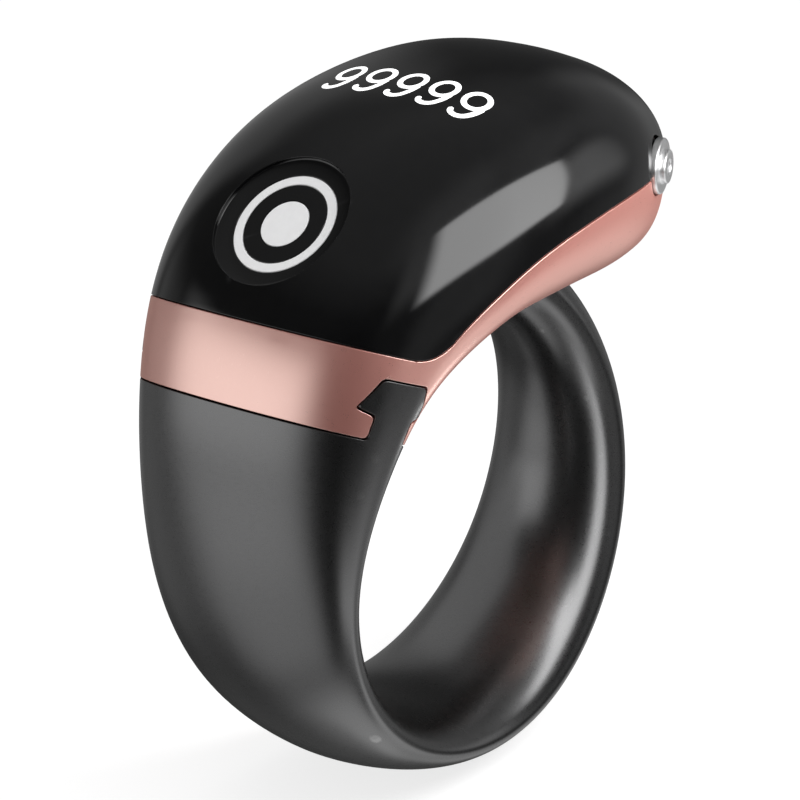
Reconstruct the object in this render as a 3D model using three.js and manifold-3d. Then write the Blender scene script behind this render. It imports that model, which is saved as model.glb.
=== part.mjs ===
// A digital finger counter: a smart tally ring with a display head and a band that slides off.
// Millimetres. The origin is the centre of the finger hole, +Y runs along the finger,
// +Z is up through the head, and +X points to the nose that overhangs the band.

import * as THREE from 'three';
import { mergeVertices } from 'three/addons/utils/BufferGeometryUtils.js';
import Module from 'manifold-3d';

const wasm = await Module();
wasm.setup();

// Ring
const fingerDiameter = 20;
const overhang = 13.7;
const noseRounding = 3.4;
const shellWall = 1.1;
const seamGap = 0.08;
const degreesPerReach = 4;
const bendTurns = 20;

// Sections round the finger, at turns in degrees from +X. Turns under 90 go on as a straight run
// towards the nose, by so many degrees for each millimetre, and the bend eases into that run. The
// crown is the outer surface and the waist the widest line, both as heights over the finger hole.
// Half is half the width along the finger, and shoulder and belly are the exponents of the outer
// and the inner half of the section.
const ringSections = [
  { turn: 36, crown: 10, waist: 6.45, half: 6.25, shoulder: 2.2, belly: 2.45 },
  { turn: 46, crown: 10.7, waist: 6.15, half: 7.15, shoulder: 2.2, belly: 2.45 },
  { turn: 58, crown: 11.7, waist: 6.05, half: 8.3, shoulder: 2.3, belly: 2.4 },
  { turn: 74, crown: 12.15, waist: 5.7, half: 8.95, shoulder: 2.45, belly: 2.35 },
  { turn: 90, crown: 11.6, waist: 5.15, half: 9.25, shoulder: 2.55, belly: 2.35 },
  { turn: 110, crown: 10.25, waist: 4.45, half: 9.15, shoulder: 2.45, belly: 2.25 },
  { turn: 130, crown: 8.8, waist: 3.8, half: 8.2, shoulder: 2.35, belly: 2.2 },
  { turn: 149, crown: 6.8, waist: 2.75, half: 7.4, shoulder: 2.2, belly: 2.05 },
  { turn: 180, crown: 4.5, waist: 2.25, half: 6.45, shoulder: 1.9, belly: 1.9 },
  { turn: 215, crown: 4, waist: 2, half: 5.9, shoulder: 1.8, belly: 1.9 },
  { turn: 255, crown: 3.7, waist: 1.85, half: 5.55, shoulder: 1.8, belly: 1.9 },
  { turn: 295, crown: 4.35, waist: 2.2, half: 5.15, shoulder: 1.8, belly: 1.9 },
  { turn: 330, crown: 4.55, waist: 2.3, half: 4.55, shoulder: 1.8, belly: 1.9 },
  { turn: 365, crown: 4.45, waist: 2.25, half: 3.85, shoulder: 1.8, belly: 1.9 },
  { turn: 400, crown: 4.2, waist: 2.2, half: 2.9, shoulder: 1.8, belly: 1.9 },
  { turn: 432, crown: 3.7, waist: 2.2, half: 1.8, shoulder: 1.8, belly: 1.9 },
];

// Joint between head and band on the touch key's side. Its planes lie square to the outer surface,
// heights run up along the joint from the hole's centre, and depths run out of it.
const jointTilt = 20.5;
const bandEdgeHeight = 3.15;
const barbHeight = 4.35;
const barbSlope = 0.22;
const tongueTopHeight = 6;
const coverEdgeHeight = 7.2;
const tongueDepth = 13.12;
const neckWidth = 2;
const barbWidth = 3.5;
const tongueTopWidth = 2.25;
const tongueRounding = 0.2;
const coverCorner = 1.6;

// Seat under the nose, where the band's other end slides in on a ridge
const seatHeight = 10;
const bandButtReach = 4.4;
const bandShoulderReach = 9;
const bandShoulder = 1.95;
const ridgeReach = 8;
const ridgeWidth = 1.4;
const ridgeHeight = 0.5;
const bandSlack = 0.08;
const bandEndTurn = 433;
const seatTop = 10.9;

// Touch key: a dish in the cover with an inlaid ring and dot, and its electrode behind
const keyTurn = 121;
const dishRadius = 3.55;
const dishDepth = 0.68;
const dishRimDepth = 0.5;
const markRingOuter = 2.67;
const markRingInner = 2.2;
const markDotRadius = 1.25;
const markDepth = 0.22;
const markSlack = 0.03;
const touchBoardRadius = 2.9;
const touchBoardThickness = 0.4;
const touchBoardBehind = 0.6;
const electrodeInner = 1.6;
const electrodeThickness = 0.1;
const ledLength = 1;
const ledWidth = 0.8;
const ledHeight = 0.4;

// Side button with its switch
const buttonReach = 9.4;
const buttonHeight = 16.4;
const buttonTurn = 20;
const flangeRadius = 1.4;
const flangeThickness = 0.4;
const flangeProud = 0.2;
const flangeBevel = 0.12;
const bossRadius = 0.86;
const bossHeight = 0.3;
const dimpleRadius = 0.42;
const dimpleDepth = 0.1;
const stemRadius = 0.55;
const stemLength = 2.4;
const recessSlack = 0.1;
const buttonTravel = 0.3;
const buttonBlockRadius = 2.1;
const buttonBlockDepth = 2.15;
const boreSlack = 0.07;
const sealDepth = 1.35;
const sealTube = 0.15;
const clipRadius = 1;
const clipThickness = 0.15;
const switchSide = 2.4;
const switchDepth = 1.1;
const plungerRadius = 0.5;
const plungerLength = 0.55;
const plungerProud = 0.3;
const switchBoardSide = 3.2;
const switchBoardThickness = 0.4;

// Display under the crown of the cover
const displayTurn = 91.8;
const displayBehind = 2.65;
const displayLength = 11.2;
const displayWidth = 7.2;
const displayThickness = 1;
const displayFoamThickness = 0.4;
const displayFoamRim = 0.9;

// Main board, its parts and the carrier that clamps it
const boardTop = 15.4;
const boardThickness = 0.6;
const boardHalfWidth = 6;
const boardStart = -5.6;
const boardSlack = 0.2;
const carrierInset = 0.1;
const carrierStart = -4.4;
const carrierTabLength = 2.5;
const carrierTabThickness = 0.8;
const carrierWall = 1.1;
const screwEdge = 1;
const screwOffset = 4.8;
const screwRadius = 0.4;
const screwHeadRadius = 0.8;
const screwHeadHeight = 0.5;
const screwLength = 3.6;
const screwSlack = 0.05;
const screwBossRadius = 1;
const chipSide = 3.6;
const chipHeight = 0.8;
const chipReach = -1.1;
const antennaSide = 2.4;
const antennaThickness = 1;
const antennaSlack = 0.16;
const connectorLength = 4.4;
const connectorWidth = 1.3;
const connectorHeight = 0.7;
const connectorEdge = 1.1;
const flexThickness = 0.12;
const flexWidth = 3;
const restGap = 0.05;

// Battery on the floor of the housing
const batteryThickness = 2.5;
const batteryHalfWidth = 5;
const batteryStart = -4.3;
const batterySlack = 0.1;
const batteryEdge = 0.6;
const tapeThickness = 0.3;
const tapeHalfWidth = 3.9;
const flexRoom = 0.25;

// Coin motor in the nose, its axis along the reach
const motorReach = 8.3;
const motorOffset = 0.9;
const motorHeight = 15.3;
const motorRadius = 3.5;
const motorLength = 2.1;
const motorWall = 0.25;
const motorBaseThickness = 0.3;
const motorShaftRadius = 0.35;
const rotorThickness = 0.9;
const rotorSlack = 0.15;
const motorRibThickness = 0.8;

// Charging contacts on the finger side
const chargeTurn = 104;
const chargeFace = 0.2;
const chargePadLength = 6.4;
const chargePadWidth = 3.2;
const chargePadThickness = 0.9;
const pinSpacing = 3.2;
const pinRadius = 0.6;
const pinHeadRadius = 0.85;
const pinHeadThickness = 0.25;

// Mesh fineness
const ringSides = 44;
const cavitySides = 28;
const turnStep = 7;
const noseSteps = 9;
const roundSides = 24;

const fingerRadius = fingerDiameter / 2;
const radians = THREE.MathUtils.degToRad;
const cutLength = 40;

// Natural cubic spline through the ring's sections, held level past the ends.
function splineOf(knots, values) {
  const last = knots.length - 1;
  const bend = new Array(last + 1).fill(0);
  const upper = new Array(last + 1).fill(0);
  for (let i = 1; i < last; i++) {
    const before = knots[i] - knots[i - 1];
    const after = knots[i + 1] - knots[i];
    const change = (values[i + 1] - values[i]) / after - (values[i] - values[i - 1]) / before;
    const pivot = 2 * (before + after) - before * upper[i - 1];
    upper[i] = after / pivot;
    bend[i] = (6 * change - before * bend[i - 1]) / pivot;
  }
  for (let i = last - 1; i > 0; i--) {
    bend[i] -= upper[i] * bend[i + 1];
  }
  return (place) => {
    const at = THREE.MathUtils.clamp(place, knots[0], knots[last]);
    const found = knots.findIndex((knot, i) => i > 0 && at <= knot);
    const i = Math.max(found, 1);
    const span = knots[i] - knots[i - 1];
    const left = (knots[i] - at) / span;
    const right = 1 - left;
    const cubic = (left ** 3 - left) * bend[i - 1] + (right ** 3 - right) * bend[i];
    return left * values[i - 1] + right * values[i] + (cubic * span * span) / 6;
  };
}

const sectionTurns = ringSections.map((s) => s.turn);
const sectionValues = (key) => splineOf(sectionTurns, ringSections.map((s) => s[key]));
const crownAt = sectionValues('crown');
const waistAt = sectionValues('waist');
const halfAt = sectionValues('half');
const shoulderAt = sectionValues('shoulder');
const bellyAt = sectionValues('belly');

const turnOfReach = (reach) => 90 - degreesPerReach * reach;

// How far the bend has eased in, in turns, at a turn near the top of the ring
function bentBy(turn) {
  const share = THREE.MathUtils.clamp((turn - 90 + bendTurns) / (2 * bendTurns), 0, 1);
  return 2 * bendTurns * (share ** 3 - share ** 4 / 2);
}

function reachOf(turn) {
  return turn < 90 + bendTurns ? (90 - turn + bentBy(turn)) / degreesPerReach : 0;
}

// A point of the side profile: a distance out from the finger hole's centre line at a turn.
function profilePoint(turn, radius) {
  const angle = radians(turn < 90 + bendTurns ? 90 + bentBy(turn) : turn);
  return new THREE.Vector2(reachOf(turn) + radius * Math.cos(angle), radius * Math.sin(angle));
}

// One closed section of the ring's body, set in by the given wall.
function ringSection(turn, inset, sides) {
  const waist = fingerRadius + waistAt(turn);
  const crown = fingerRadius + crownAt(turn) - inset - waist;
  const belly = waist - fingerRadius - inset;
  const half = halfAt(turn) - inset;
  const roundFrom = overhang - inset - noseRounding;
  const along = THREE.MathUtils.clamp((reachOf(turn) - roundFrom) / noseRounding, 0, 1);
  const shrink = Math.sqrt(Math.max(0, 1 - along ** 2.2));
  const points = [];
  for (let i = 0; i < sides; i++) {
    const phase = (2 * Math.PI * i) / sides;
    const up = Math.cos(phase);
    const side = Math.sin(phase);
    const power = up > 0 ? shoulderAt(turn) : bellyAt(turn);
    const size = shrink / (Math.abs(up) ** power + Math.abs(side) ** power) ** (1 / power);
    const place = profilePoint(turn, waist + up * size * (up > 0 ? crown : belly));
    points.push(new THREE.Vector3(place.x, side * size * half, place.y));
  }
  return shrink < 1e-6 ? [points[0]] : points;
}

// A closed skin over a row of sections; a section of one point is a pole.
function loft(rings) {
  const positions = [];
  const faces = [];
  const starts = rings.map((ring) => {
    const start = positions.length / 3;
    ring.forEach((p) => positions.push(p.x, p.y, p.z));
    return start;
  });
  for (let r = 0; r + 1 < rings.length; r++) {
    const sides = Math.max(rings[r].length, rings[r + 1].length);
    const vertex = (ring, i) => starts[ring] + (rings[ring].length === 1 ? 0 : i % sides);
    for (let i = 0; i < sides; i++) {
      const a = vertex(r, i);
      const b = vertex(r, i + 1);
      const c = vertex(r + 1, i + 1);
      const d = vertex(r + 1, i);
      if (a !== b) faces.push(a, b, c);
      if (c !== d) faces.push(a, c, d);
    }
  }
  [0, rings.length - 1].forEach((r) => {
    const ring = rings[r];
    if (ring.length === 1) return;
    const middle = ring.reduce((sum, p) => sum.add(p), new THREE.Vector3()).divideScalar(ring.length);
    const hub = positions.length / 3;
    positions.push(middle.x, middle.y, middle.z);
    for (let i = 0; i < ring.length; i++) {
      const here = starts[r] + i;
      const next = starts[r] + ((i + 1) % ring.length);
      if (r === 0) faces.push(hub, next, here);
      else faces.push(hub, here, next);
    }
  });
  const geometry = new THREE.BufferGeometry();
  geometry.setAttribute('position', new THREE.Float32BufferAttribute(positions, 3));
  geometry.setIndex(faces);
  return geometry;
}

// Turns from the rounded nose round to the given end, close together at the nose.
function headTurns(inset, endTurn) {
  const turns = [];
  for (let i = 0; i < noseSteps; i++) {
    turns.push(turnOfReach((overhang - inset) * Math.cos((Math.PI * i) / (2 * noseSteps))));
  }
  return [...turns, ...evenTurns(90, endTurn)];
}

function evenTurns(from, to) {
  const steps = Math.ceil((to - from) / turnStep);
  return Array.from({ length: steps + 1 }, (_, i) => from + ((to - from) * i) / steps);
}

function ringBody(turns, inset, sides) {
  return loft(turns.map((turn) => ringSection(turn, inset, sides)));
}

// Solids
function solidOf(geometry) {
  const bare = geometry.clone();
  bare.deleteAttribute('normal');
  bare.deleteAttribute('uv');
  const merged = mergeVertices(bare, 1e-5);
  const solid = new wasm.Manifold(new wasm.Mesh({
    numProp: 3,
    vertProperties: merged.getAttribute('position').array,
    triVerts: new Uint32Array(merged.index.array),
  }));
  if (solid.volume() < 0) throw new Error('a solid is inside out');
  return solid;
}

function geometryOf(solid) {
  const mesh = solid.getMesh();
  const geometry = new THREE.BufferGeometry();
  geometry.setAttribute('position', new THREE.BufferAttribute(new Float32Array(mesh.vertProperties), 3));
  geometry.setIndex(new THREE.BufferAttribute(new Uint32Array(mesh.triVerts), 1));
  const flat = geometry.toNonIndexed();
  flat.computeVertexNormals();
  return flat;
}

// An outline in the side view, drawn out along the finger to both sides.
function sidePrism(points, halfWidth = cutLength / 2, middle = 0) {
  const geometry = new THREE.ExtrudeGeometry(new THREE.Shape(points), {
    depth: 2 * halfWidth,
    bevelEnabled: false,
  });
  return geometry.translate(0, 0, -halfWidth - middle).rotateX(Math.PI / 2);
}

function block(from, to) {
  const size = new THREE.Vector3().subVectors(to, from);
  const middle = new THREE.Vector3().addVectors(from, to).multiplyScalar(0.5);
  return new THREE.BoxGeometry(size.x, size.y, size.z).translate(middle.x, middle.y, middle.z);
}

const boxOf = (x0, x1, y0, y1, z0, z1) => block(new THREE.Vector3(x0, y0, z0), new THREE.Vector3(x1, y1, z1));

// A turned piece about +Z from pairs of radius and height.
function turned(profile, sides = roundSides) {
  const points = profile.map(([radius, height]) => new THREE.Vector2(radius, height));
  return new THREE.LatheGeometry(points, sides).rotateX(Math.PI / 2);
}

const disc = (radius, low, high, sides) => (
  turned([[0, low], [radius, low], [radius, high], [0, high]], sides)
);

const washer = (inner, outer, low, high, sides) => (
  turned([[inner, low], [outer, low], [outer, high], [inner, high], [inner, low]], sides)
);

// A flat strip that follows a path in the side view.
function strip(points, width, steps) {
  const path = new THREE.CatmullRomCurve3(points.map(([x, z]) => new THREE.Vector3(x, 0, z)));
  const rings = [];
  for (let i = 0; i <= steps; i++) {
    const at = path.getPoint(i / steps);
    const tangent = path.getTangent(i / steps);
    const over = new THREE.Vector3(-tangent.z, 0, tangent.x).multiplyScalar(flexThickness / 2);
    const across = new THREE.Vector3(0, width / 2, 0);
    rings.push([
      at.clone().add(over).add(across),
      at.clone().add(over).sub(across),
      at.clone().sub(over).sub(across),
      at.clone().sub(over).add(across),
    ]);
  }
  return loft(rings);
}

// Frames that sub-parts share
const jointUp = new THREE.Vector2(Math.sin(radians(jointTilt)), Math.cos(radians(jointTilt)));
const jointOut = new THREE.Vector2(-jointUp.y, jointUp.x);

const jointPoint = (height, depth) => (
  jointUp.clone().multiplyScalar(height).add(jointOut.clone().multiplyScalar(depth))
);

function surfaceFrame(turn) {
  const at = profilePoint(turn, fingerRadius + crownAt(turn));
  const ahead = profilePoint(turn - 0.5, fingerRadius + crownAt(turn - 0.5));
  const behind = profilePoint(turn + 0.5, fingerRadius + crownAt(turn + 0.5));
  const along = ahead.sub(behind).normalize();
  const frame = new THREE.Matrix4().makeBasis(
    new THREE.Vector3(along.x, 0, along.y),
    new THREE.Vector3(0, 1, 0),
    new THREE.Vector3(-along.y, 0, along.x),
  );
  return frame.setPosition(at.x, 0, at.y);
}

const keyFrame = surfaceFrame(keyTurn);

// The button's axis leaves the near side of the head, turned a little towards the nose.
function buttonPlace() {
  const turn = turnOfReach(buttonReach);
  const waist = fingerRadius + waistAt(turn);
  const share = (buttonHeight - waist) / (fingerRadius + crownAt(turn) - waist);
  const power = shoulderAt(turn);
  const half = halfAt(turn) * (1 - Math.abs(share) ** power) ** (1 / power);
  const turnAngle = radians(buttonTurn);
  const out = new THREE.Vector3(Math.sin(turnAngle), -Math.cos(turnAngle), 0);
  const up = new THREE.Vector3(0, 0, 1);
  const along = new THREE.Vector3().crossVectors(up, out);
  const frame = new THREE.Matrix4().makeBasis(along, up, out);
  return frame.setPosition(buttonReach, -half, buttonHeight);
}

const buttonFrame = buttonPlace();

const displayFrame = surfaceFrame(displayTurn);

// The board ends short of the switch, and its screws, plug and battery keep to that end.
const switchBack = flangeProud - flangeThickness - stemLength - plungerProud - switchDepth
  - 2 * restGap - switchBoardThickness;
const switchCorner = new THREE.Vector3(-switchBoardSide / 2, 0, switchBack).applyMatrix4(buttonFrame);
const boardEnd = switchCorner.x - boardSlack;
const carrierEnd = boardEnd - carrierInset;
const carrierHalfWidth = boardHalfWidth - carrierInset;
const screwReach = boardEnd - screwEdge;
const carrierTabStart = carrierEnd - carrierTabLength;
const connectorReach = boardEnd - connectorEdge;
const antennaReach = carrierTabStart - carrierWall - antennaSlack - antennaThickness / 2;
const batteryEnd = screwReach - screwBossRadius - batterySlack;

const chargeFrame = new THREE.Matrix4().makeRotationY(radians(90 - chargeTurn))
  .setPosition(fingerRadius * Math.cos(radians(chargeTurn)), 0, fingerRadius * Math.sin(radians(chargeTurn)));

// Cutting outlines in the side view
function coverOutline(grow) {
  const points = [];
  const cornerTurn = waistTurnAt(coverEdgeHeight - grow, grow);
  const cornerRadius = fingerRadius + waistAt(cornerTurn) - grow;
  const lastTurn = cornerTurn - coverCorner / cornerRadius / radians(1);
  for (let turn = turnOfReach(overhang + 3); turn < lastTurn - 3; turn += 6) {
    points.push(profilePoint(turn, fingerRadius + waistAt(turn) - grow));
  }
  const corner = profilePoint(cornerTurn, cornerRadius);
  const edgeStart = corner.clone().add(jointOut.clone().multiplyScalar(coverCorner));
  const bend = new THREE.QuadraticBezierCurve(
    profilePoint(lastTurn, fingerRadius + waistAt(lastTurn) - grow),
    corner,
    edgeStart,
  );
  points.push(...bend.getPoints(6));
  points.push(jointPoint(coverEdgeHeight - grow, cutLength / 2));
  points.push(new THREE.Vector2(-cutLength / 2, cutLength));
  points.push(new THREE.Vector2(overhang + 3, cutLength));
  return points;
}

// The turn at which the waist line comes down to a height over the joint.
function waistTurnAt(height, grow) {
  let turn = 100;
  while (turn < 150) {
    if (profilePoint(turn, fingerRadius + waistAt(turn) - grow).dot(jointUp) < height) break;
    turn += 0.25;
  }
  return turn;
}

// A chain of points with its inner corners rounded, each by no more than half of its shorter side.
function roundedChain(points, rounding) {
  const chain = [points[0]];
  for (let i = 1; i + 1 < points.length; i++) {
    const [before, corner, after] = points.slice(i - 1, i + 2);
    const inward = corner.distanceTo(before);
    const outward = corner.distanceTo(after);
    const reach = Math.min(rounding, inward / 2, outward / 2);
    const bend = new THREE.QuadraticBezierCurve(
      corner.clone().lerp(before, reach / inward),
      corner,
      corner.clone().lerp(after, reach / outward),
    );
    chain.push(...bend.getPoints(3));
  }
  return [...chain, points[points.length - 1]];
}

// Everything below the joint and below the seat, with the barbed tongue and the ridge.
function bandOutline(grow) {
  const tongue = [
    [bandEdgeHeight + grow, -neckWidth / 2 - grow],
    [barbHeight - grow, -neckWidth / 2 - grow],
    [barbHeight + barbSlope - grow, -barbWidth / 2 - grow],
    [tongueTopHeight + grow, -tongueTopWidth / 2 - grow],
    [tongueTopHeight + grow, tongueTopWidth / 2 + grow],
    [barbHeight + barbSlope - grow, barbWidth / 2 + grow],
    [barbHeight - grow, neckWidth / 2 + grow],
    [bandEdgeHeight + grow, neckWidth / 2 + grow],
  ].map(([height, across]) => jointPoint(height, tongueDepth + across));
  const joint = [
    jointPoint(bandEdgeHeight + grow, 0),
    ...tongue,
    jointPoint(bandEdgeHeight + grow, cutLength / 2),
  ];
  const seat = seatHeight + grow;
  const shoulder = new THREE.QuadraticBezierCurve(
    new THREE.Vector2(bandShoulderReach + 1.7 * bandShoulder + grow, seat - bandShoulder),
    new THREE.Vector2(bandShoulderReach + bandShoulder + grow, seat),
    new THREE.Vector2(bandShoulderReach, seat),
  );
  const ridge = [
    new THREE.Vector2(cutLength / 2, 0),
    ...shoulder.getPoints(6),
    new THREE.Vector2(ridgeReach + ridgeWidth / 2 + grow, seat),
    new THREE.Vector2(ridgeReach + ridgeWidth / 2 + grow, seat + ridgeHeight),
    new THREE.Vector2(ridgeReach - ridgeWidth / 2 - grow, seat + ridgeHeight),
    new THREE.Vector2(ridgeReach - ridgeWidth / 2 - grow, seat),
    new THREE.Vector2(bandButtReach - grow, seat),
    new THREE.Vector2(bandButtReach - grow, 0),
  ];
  return [
    ...ridge,
    ...roundedChain(joint, tongueRounding),
    new THREE.Vector2(-cutLength / 2, -cutLength / 2),
    new THREE.Vector2(cutLength / 2, -cutLength / 2),
  ];
}

const headEndTurn = 165;
const bandStartTurn = 128;
const saddleStartTurn = 390;
const saddleEndTurn = 452;
const seatLow = 8.5;
const cavityEndTurn = 130;

// The hollow in the head, less the block that guides the button.
function cavitySolid() {
  const hollow = solidOf(ringBody(headTurns(shellWall, cavityEndTurn), shellWall, cavitySides));
  const guide = disc(buttonBlockRadius, -buttonBlockDepth, shellWall).applyMatrix4(buttonFrame);
  return hollow.subtract(solidOf(guide));
}

// The holes that the button's head, stem and seal need through the side of the head.
function buttonHoles() {
  const recessRadius = flangeRadius + recessSlack;
  const recessFloor = flangeProud - flangeThickness - buttonTravel - recessSlack;
  const boreRadius = stemRadius + boreSlack;
  const sealRadius = stemRadius + 2 * sealTube + boreSlack;
  const sealRoom = sealTube + restGap;
  const profile = turned([
    [0, -buttonBlockDepth - shellWall],
    [boreRadius, -buttonBlockDepth - shellWall],
    [boreRadius, -sealDepth - sealRoom],
    [sealRadius, -sealDepth - sealRoom],
    [sealRadius, -sealDepth + sealRoom],
    [boreRadius, -sealDepth + sealRoom],
    [boreRadius, recessFloor],
    [recessRadius, recessFloor],
    [recessRadius, shellWall],
    [0, shellWall],
  ]);
  return solidOf(profile.applyMatrix4(buttonFrame));
}

const headBody = solidOf(ringBody(headTurns(0, headEndTurn), 0, ringSides));
const headShell = headBody.subtract(cavitySolid()).subtract(buttonHoles());

function dishCut() {
  const profile = turned([
    [0, -dishDepth],
    [dishRadius * 0.76, -dishDepth],
    [dishRadius * 0.92, -0.7 * dishDepth - 0.3 * dishRimDepth],
    [dishRadius, -dishRimDepth],
    [dishRadius, dishRadius],
    [0, dishRadius],
  ], 2 * roundSides);
  return solidOf(profile.applyMatrix4(keyFrame));
}

const markTop = -dishDepth;
const markFloor = markTop - markDepth;

const ringMark = (slack) => washer(
  markRingInner - slack,
  markRingOuter + slack,
  markFloor - slack,
  slack > 0 ? 0 : markTop,
  2 * roundSides,
);

const dotMark = (slack) => disc(markDotRadius + slack, markFloor - slack, slack > 0 ? 0 : markTop);

function coverGeometry() {
  const shape = headShell.intersect(solidOf(sidePrism(coverOutline(0))));
  const marks = [ringMark(markSlack), dotMark(markSlack)];
  const holes = marks.map((mark) => solidOf(mark.applyMatrix4(keyFrame)));
  return geometryOf(holes.reduce((cover, hole) => cover.subtract(hole), shape.subtract(dishCut())));
}

// The saddle under the nose carries the round of the finger hole down to the band's end.
function saddleSolid() {
  const body = solidOf(ringBody(evenTurns(saddleStartTurn, saddleEndTurn), 0, ringSides));
  const zone = boxOf(-1, bandShoulderReach, -cutLength / 2, cutLength / 2, seatLow, seatTop);
  return body.intersect(solidOf(zone));
}

// Posts and ribs that stand up from the housing's floor.
function housingFittings() {
  const floor = fingerRadius + shellWall / 2;
  const boardBottom = boardTop - boardThickness;
  const bosses = [-screwOffset, screwOffset].map((y) => (
    disc(screwBossRadius, floor, boardBottom - restGap).translate(screwReach, y, 0)
  ));
  const shelf = sidePrism([
    new THREE.Vector2(boardStart - 1, 8.6),
    new THREE.Vector2(boardStart + 0.6, 9.5),
    new THREE.Vector2(boardStart + 0.6, boardBottom - restGap),
    new THREE.Vector2(boardStart - 1, boardBottom - restGap),
  ], 2);
  const ribEnd = motorReach - motorBaseThickness - restGap;
  const rib = boxOf(
    ribEnd - motorRibThickness,
    ribEnd,
    motorOffset - motorRadius * 0.6,
    motorOffset + motorRadius * 0.6,
    floor,
    motorHeight - 1,
  );
  return [...bosses, shelf, rib].map(solidOf);
}

function housingGeometry() {
  const coverCut = solidOf(sidePrism(coverOutline(seamGap)));
  const bandCut = solidOf(sidePrism(bandOutline(bandSlack)));
  const window = solidOf(chargeWindow(markSlack));
  const holes = [-screwOffset, screwOffset].map((y) => solidOf(
    disc(screwRadius + screwSlack, boardTop - screwLength - 0.3, boardTop).translate(screwReach, y, 0),
  ));
  const fitted = housingFittings().reduce((sum, piece) => sum.add(piece), headShell.subtract(coverCut));
  const whole = fitted.add(saddleSolid()).subtract(bandCut).subtract(window);
  return geometryOf(holes.reduce((housing, hole) => housing.subtract(hole), whole));
}

function bandGeometry() {
  const body = solidOf(ringBody(evenTurns(bandStartTurn, bandEndTurn), 0, ringSides));
  return geometryOf(body.intersect(solidOf(sidePrism(bandOutline(0)))));
}

// Charging pad: local +Z runs away from the finger.
function chargeWindow(slack) {
  const half = [chargePadWidth / 2 + slack, chargePadLength / 2 + slack];
  const top = slack > 0 ? shellWall + 1 : chargeFace + chargePadThickness;
  const low = slack > 0 ? -1 : chargeFace;
  return boxOf(-half[0], half[0], -half[1], half[1], low, top).applyMatrix4(chargeFrame);
}

// Scene graph
const group = new THREE.Group();
const finishes = {
  cover: new THREE.MeshStandardMaterial({ color: 0x0b0b0c, roughness: 0.12, metalness: 0 }),
  housing: new THREE.MeshStandardMaterial({ color: 0xc98d7c, roughness: 0.32, metalness: 1 }),
  band: new THREE.MeshStandardMaterial({ color: 0x2b2b2c, roughness: 0.3, metalness: 0.9 }),
  mark: new THREE.MeshStandardMaterial({ color: 0xececec, roughness: 0.5, metalness: 0 }),
  silver: new THREE.MeshStandardMaterial({ color: 0xd6d6d6, roughness: 0.22, metalness: 1 }),
  gold: new THREE.MeshStandardMaterial({ color: 0xd8b25c, roughness: 0.3, metalness: 1 }),
  steel: new THREE.MeshStandardMaterial({ color: 0xa9abad, roughness: 0.35, metalness: 1 }),
  rubber: new THREE.MeshStandardMaterial({ color: 0x161616, roughness: 0.85, metalness: 0 }),
  board: new THREE.MeshStandardMaterial({ color: 0x14532d, roughness: 0.5, metalness: 0 }),
  chip: new THREE.MeshStandardMaterial({ color: 0x1b1b1d, roughness: 0.55, metalness: 0 }),
  plastic: new THREE.MeshStandardMaterial({ color: 0x2a2a2c, roughness: 0.6, metalness: 0 }),
  glass: new THREE.MeshStandardMaterial({ color: 0x08090c, roughness: 0.08, metalness: 0 }),
  foam: new THREE.MeshStandardMaterial({ color: 0x3a3a3d, roughness: 0.95, metalness: 0 }),
  flex: new THREE.MeshStandardMaterial({ color: 0xb5651d, roughness: 0.45, metalness: 0 }),
  pouch: new THREE.MeshStandardMaterial({ color: 0xc2c5c8, roughness: 0.4, metalness: 0.7 }),
  brass: new THREE.MeshStandardMaterial({ color: 0xb08d4a, roughness: 0.35, metalness: 1 }),
};

function add(name, geometry, finish, parent = group) {
  const mesh = new THREE.Mesh(geometry, finishes[finish].clone());
  mesh.name = name;
  parent.add(mesh);
  return mesh;
}

function framedGroup(frame) {
  const framed = new THREE.Group();
  framed.applyMatrix4(frame);
  group.add(framed);
  return framed;
}

function addShells() {
  add('cover', coverGeometry(), 'cover');
  add('housing', housingGeometry(), 'housing');
  add('band', bandGeometry(), 'band');
}

function addTouchKey() {
  const key = framedGroup(keyFrame);
  const boardFront = -shellWall - touchBoardBehind;
  add('key_ring_mark', ringMark(0), 'mark', key);
  add('key_dot_mark', dotMark(0), 'mark', key);
  add('touch_board', disc(touchBoardRadius, boardFront - touchBoardThickness, boardFront), 'board', key);
  const electrodeFront = boardFront + restGap + electrodeThickness;
  add(
    'touch_electrode',
    washer(electrodeInner, touchBoardRadius - 0.1, boardFront + restGap, electrodeFront),
    'brass',
    key,
  );
  const led = boxOf(
    -ledLength / 2, ledLength / 2, -ledWidth / 2, ledWidth / 2,
    boardFront + restGap, boardFront + restGap + ledHeight,
  );
  add('key_led', led, 'mark', key);
}

function addButton() {
  const button = framedGroup(buttonFrame);
  const front = flangeProud;
  const back = flangeProud - flangeThickness;
  const bossTop = front + bossHeight;
  const stemEnd = back - stemLength;
  const cap = turned([
    [0, stemEnd],
    [stemRadius, stemEnd],
    [stemRadius, back],
    [flangeRadius, back],
    [flangeRadius, front - flangeBevel],
    [flangeRadius - flangeBevel, front],
    [bossRadius, front],
    [bossRadius, bossTop - flangeBevel],
    [bossRadius - flangeBevel, bossTop],
    [dimpleRadius, bossTop],
    [dimpleRadius * 0.6, bossTop - dimpleDepth],
    [0, bossTop - dimpleDepth],
  ]);
  add('button_cap', cap, 'silver', button);
  const seal = new THREE.TorusGeometry(stemRadius + sealTube + restGap, sealTube, 8, roundSides);
  add('button_o_ring', seal.translate(0, 0, -sealDepth), 'rubber', button);
  const clipFront = -buttonBlockDepth - restGap;
  add(
    'button_clip',
    washer(stemRadius + restGap, clipRadius, clipFront - clipThickness, clipFront),
    'steel',
    button,
  );
  addSwitch(button, stemEnd);
}

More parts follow.
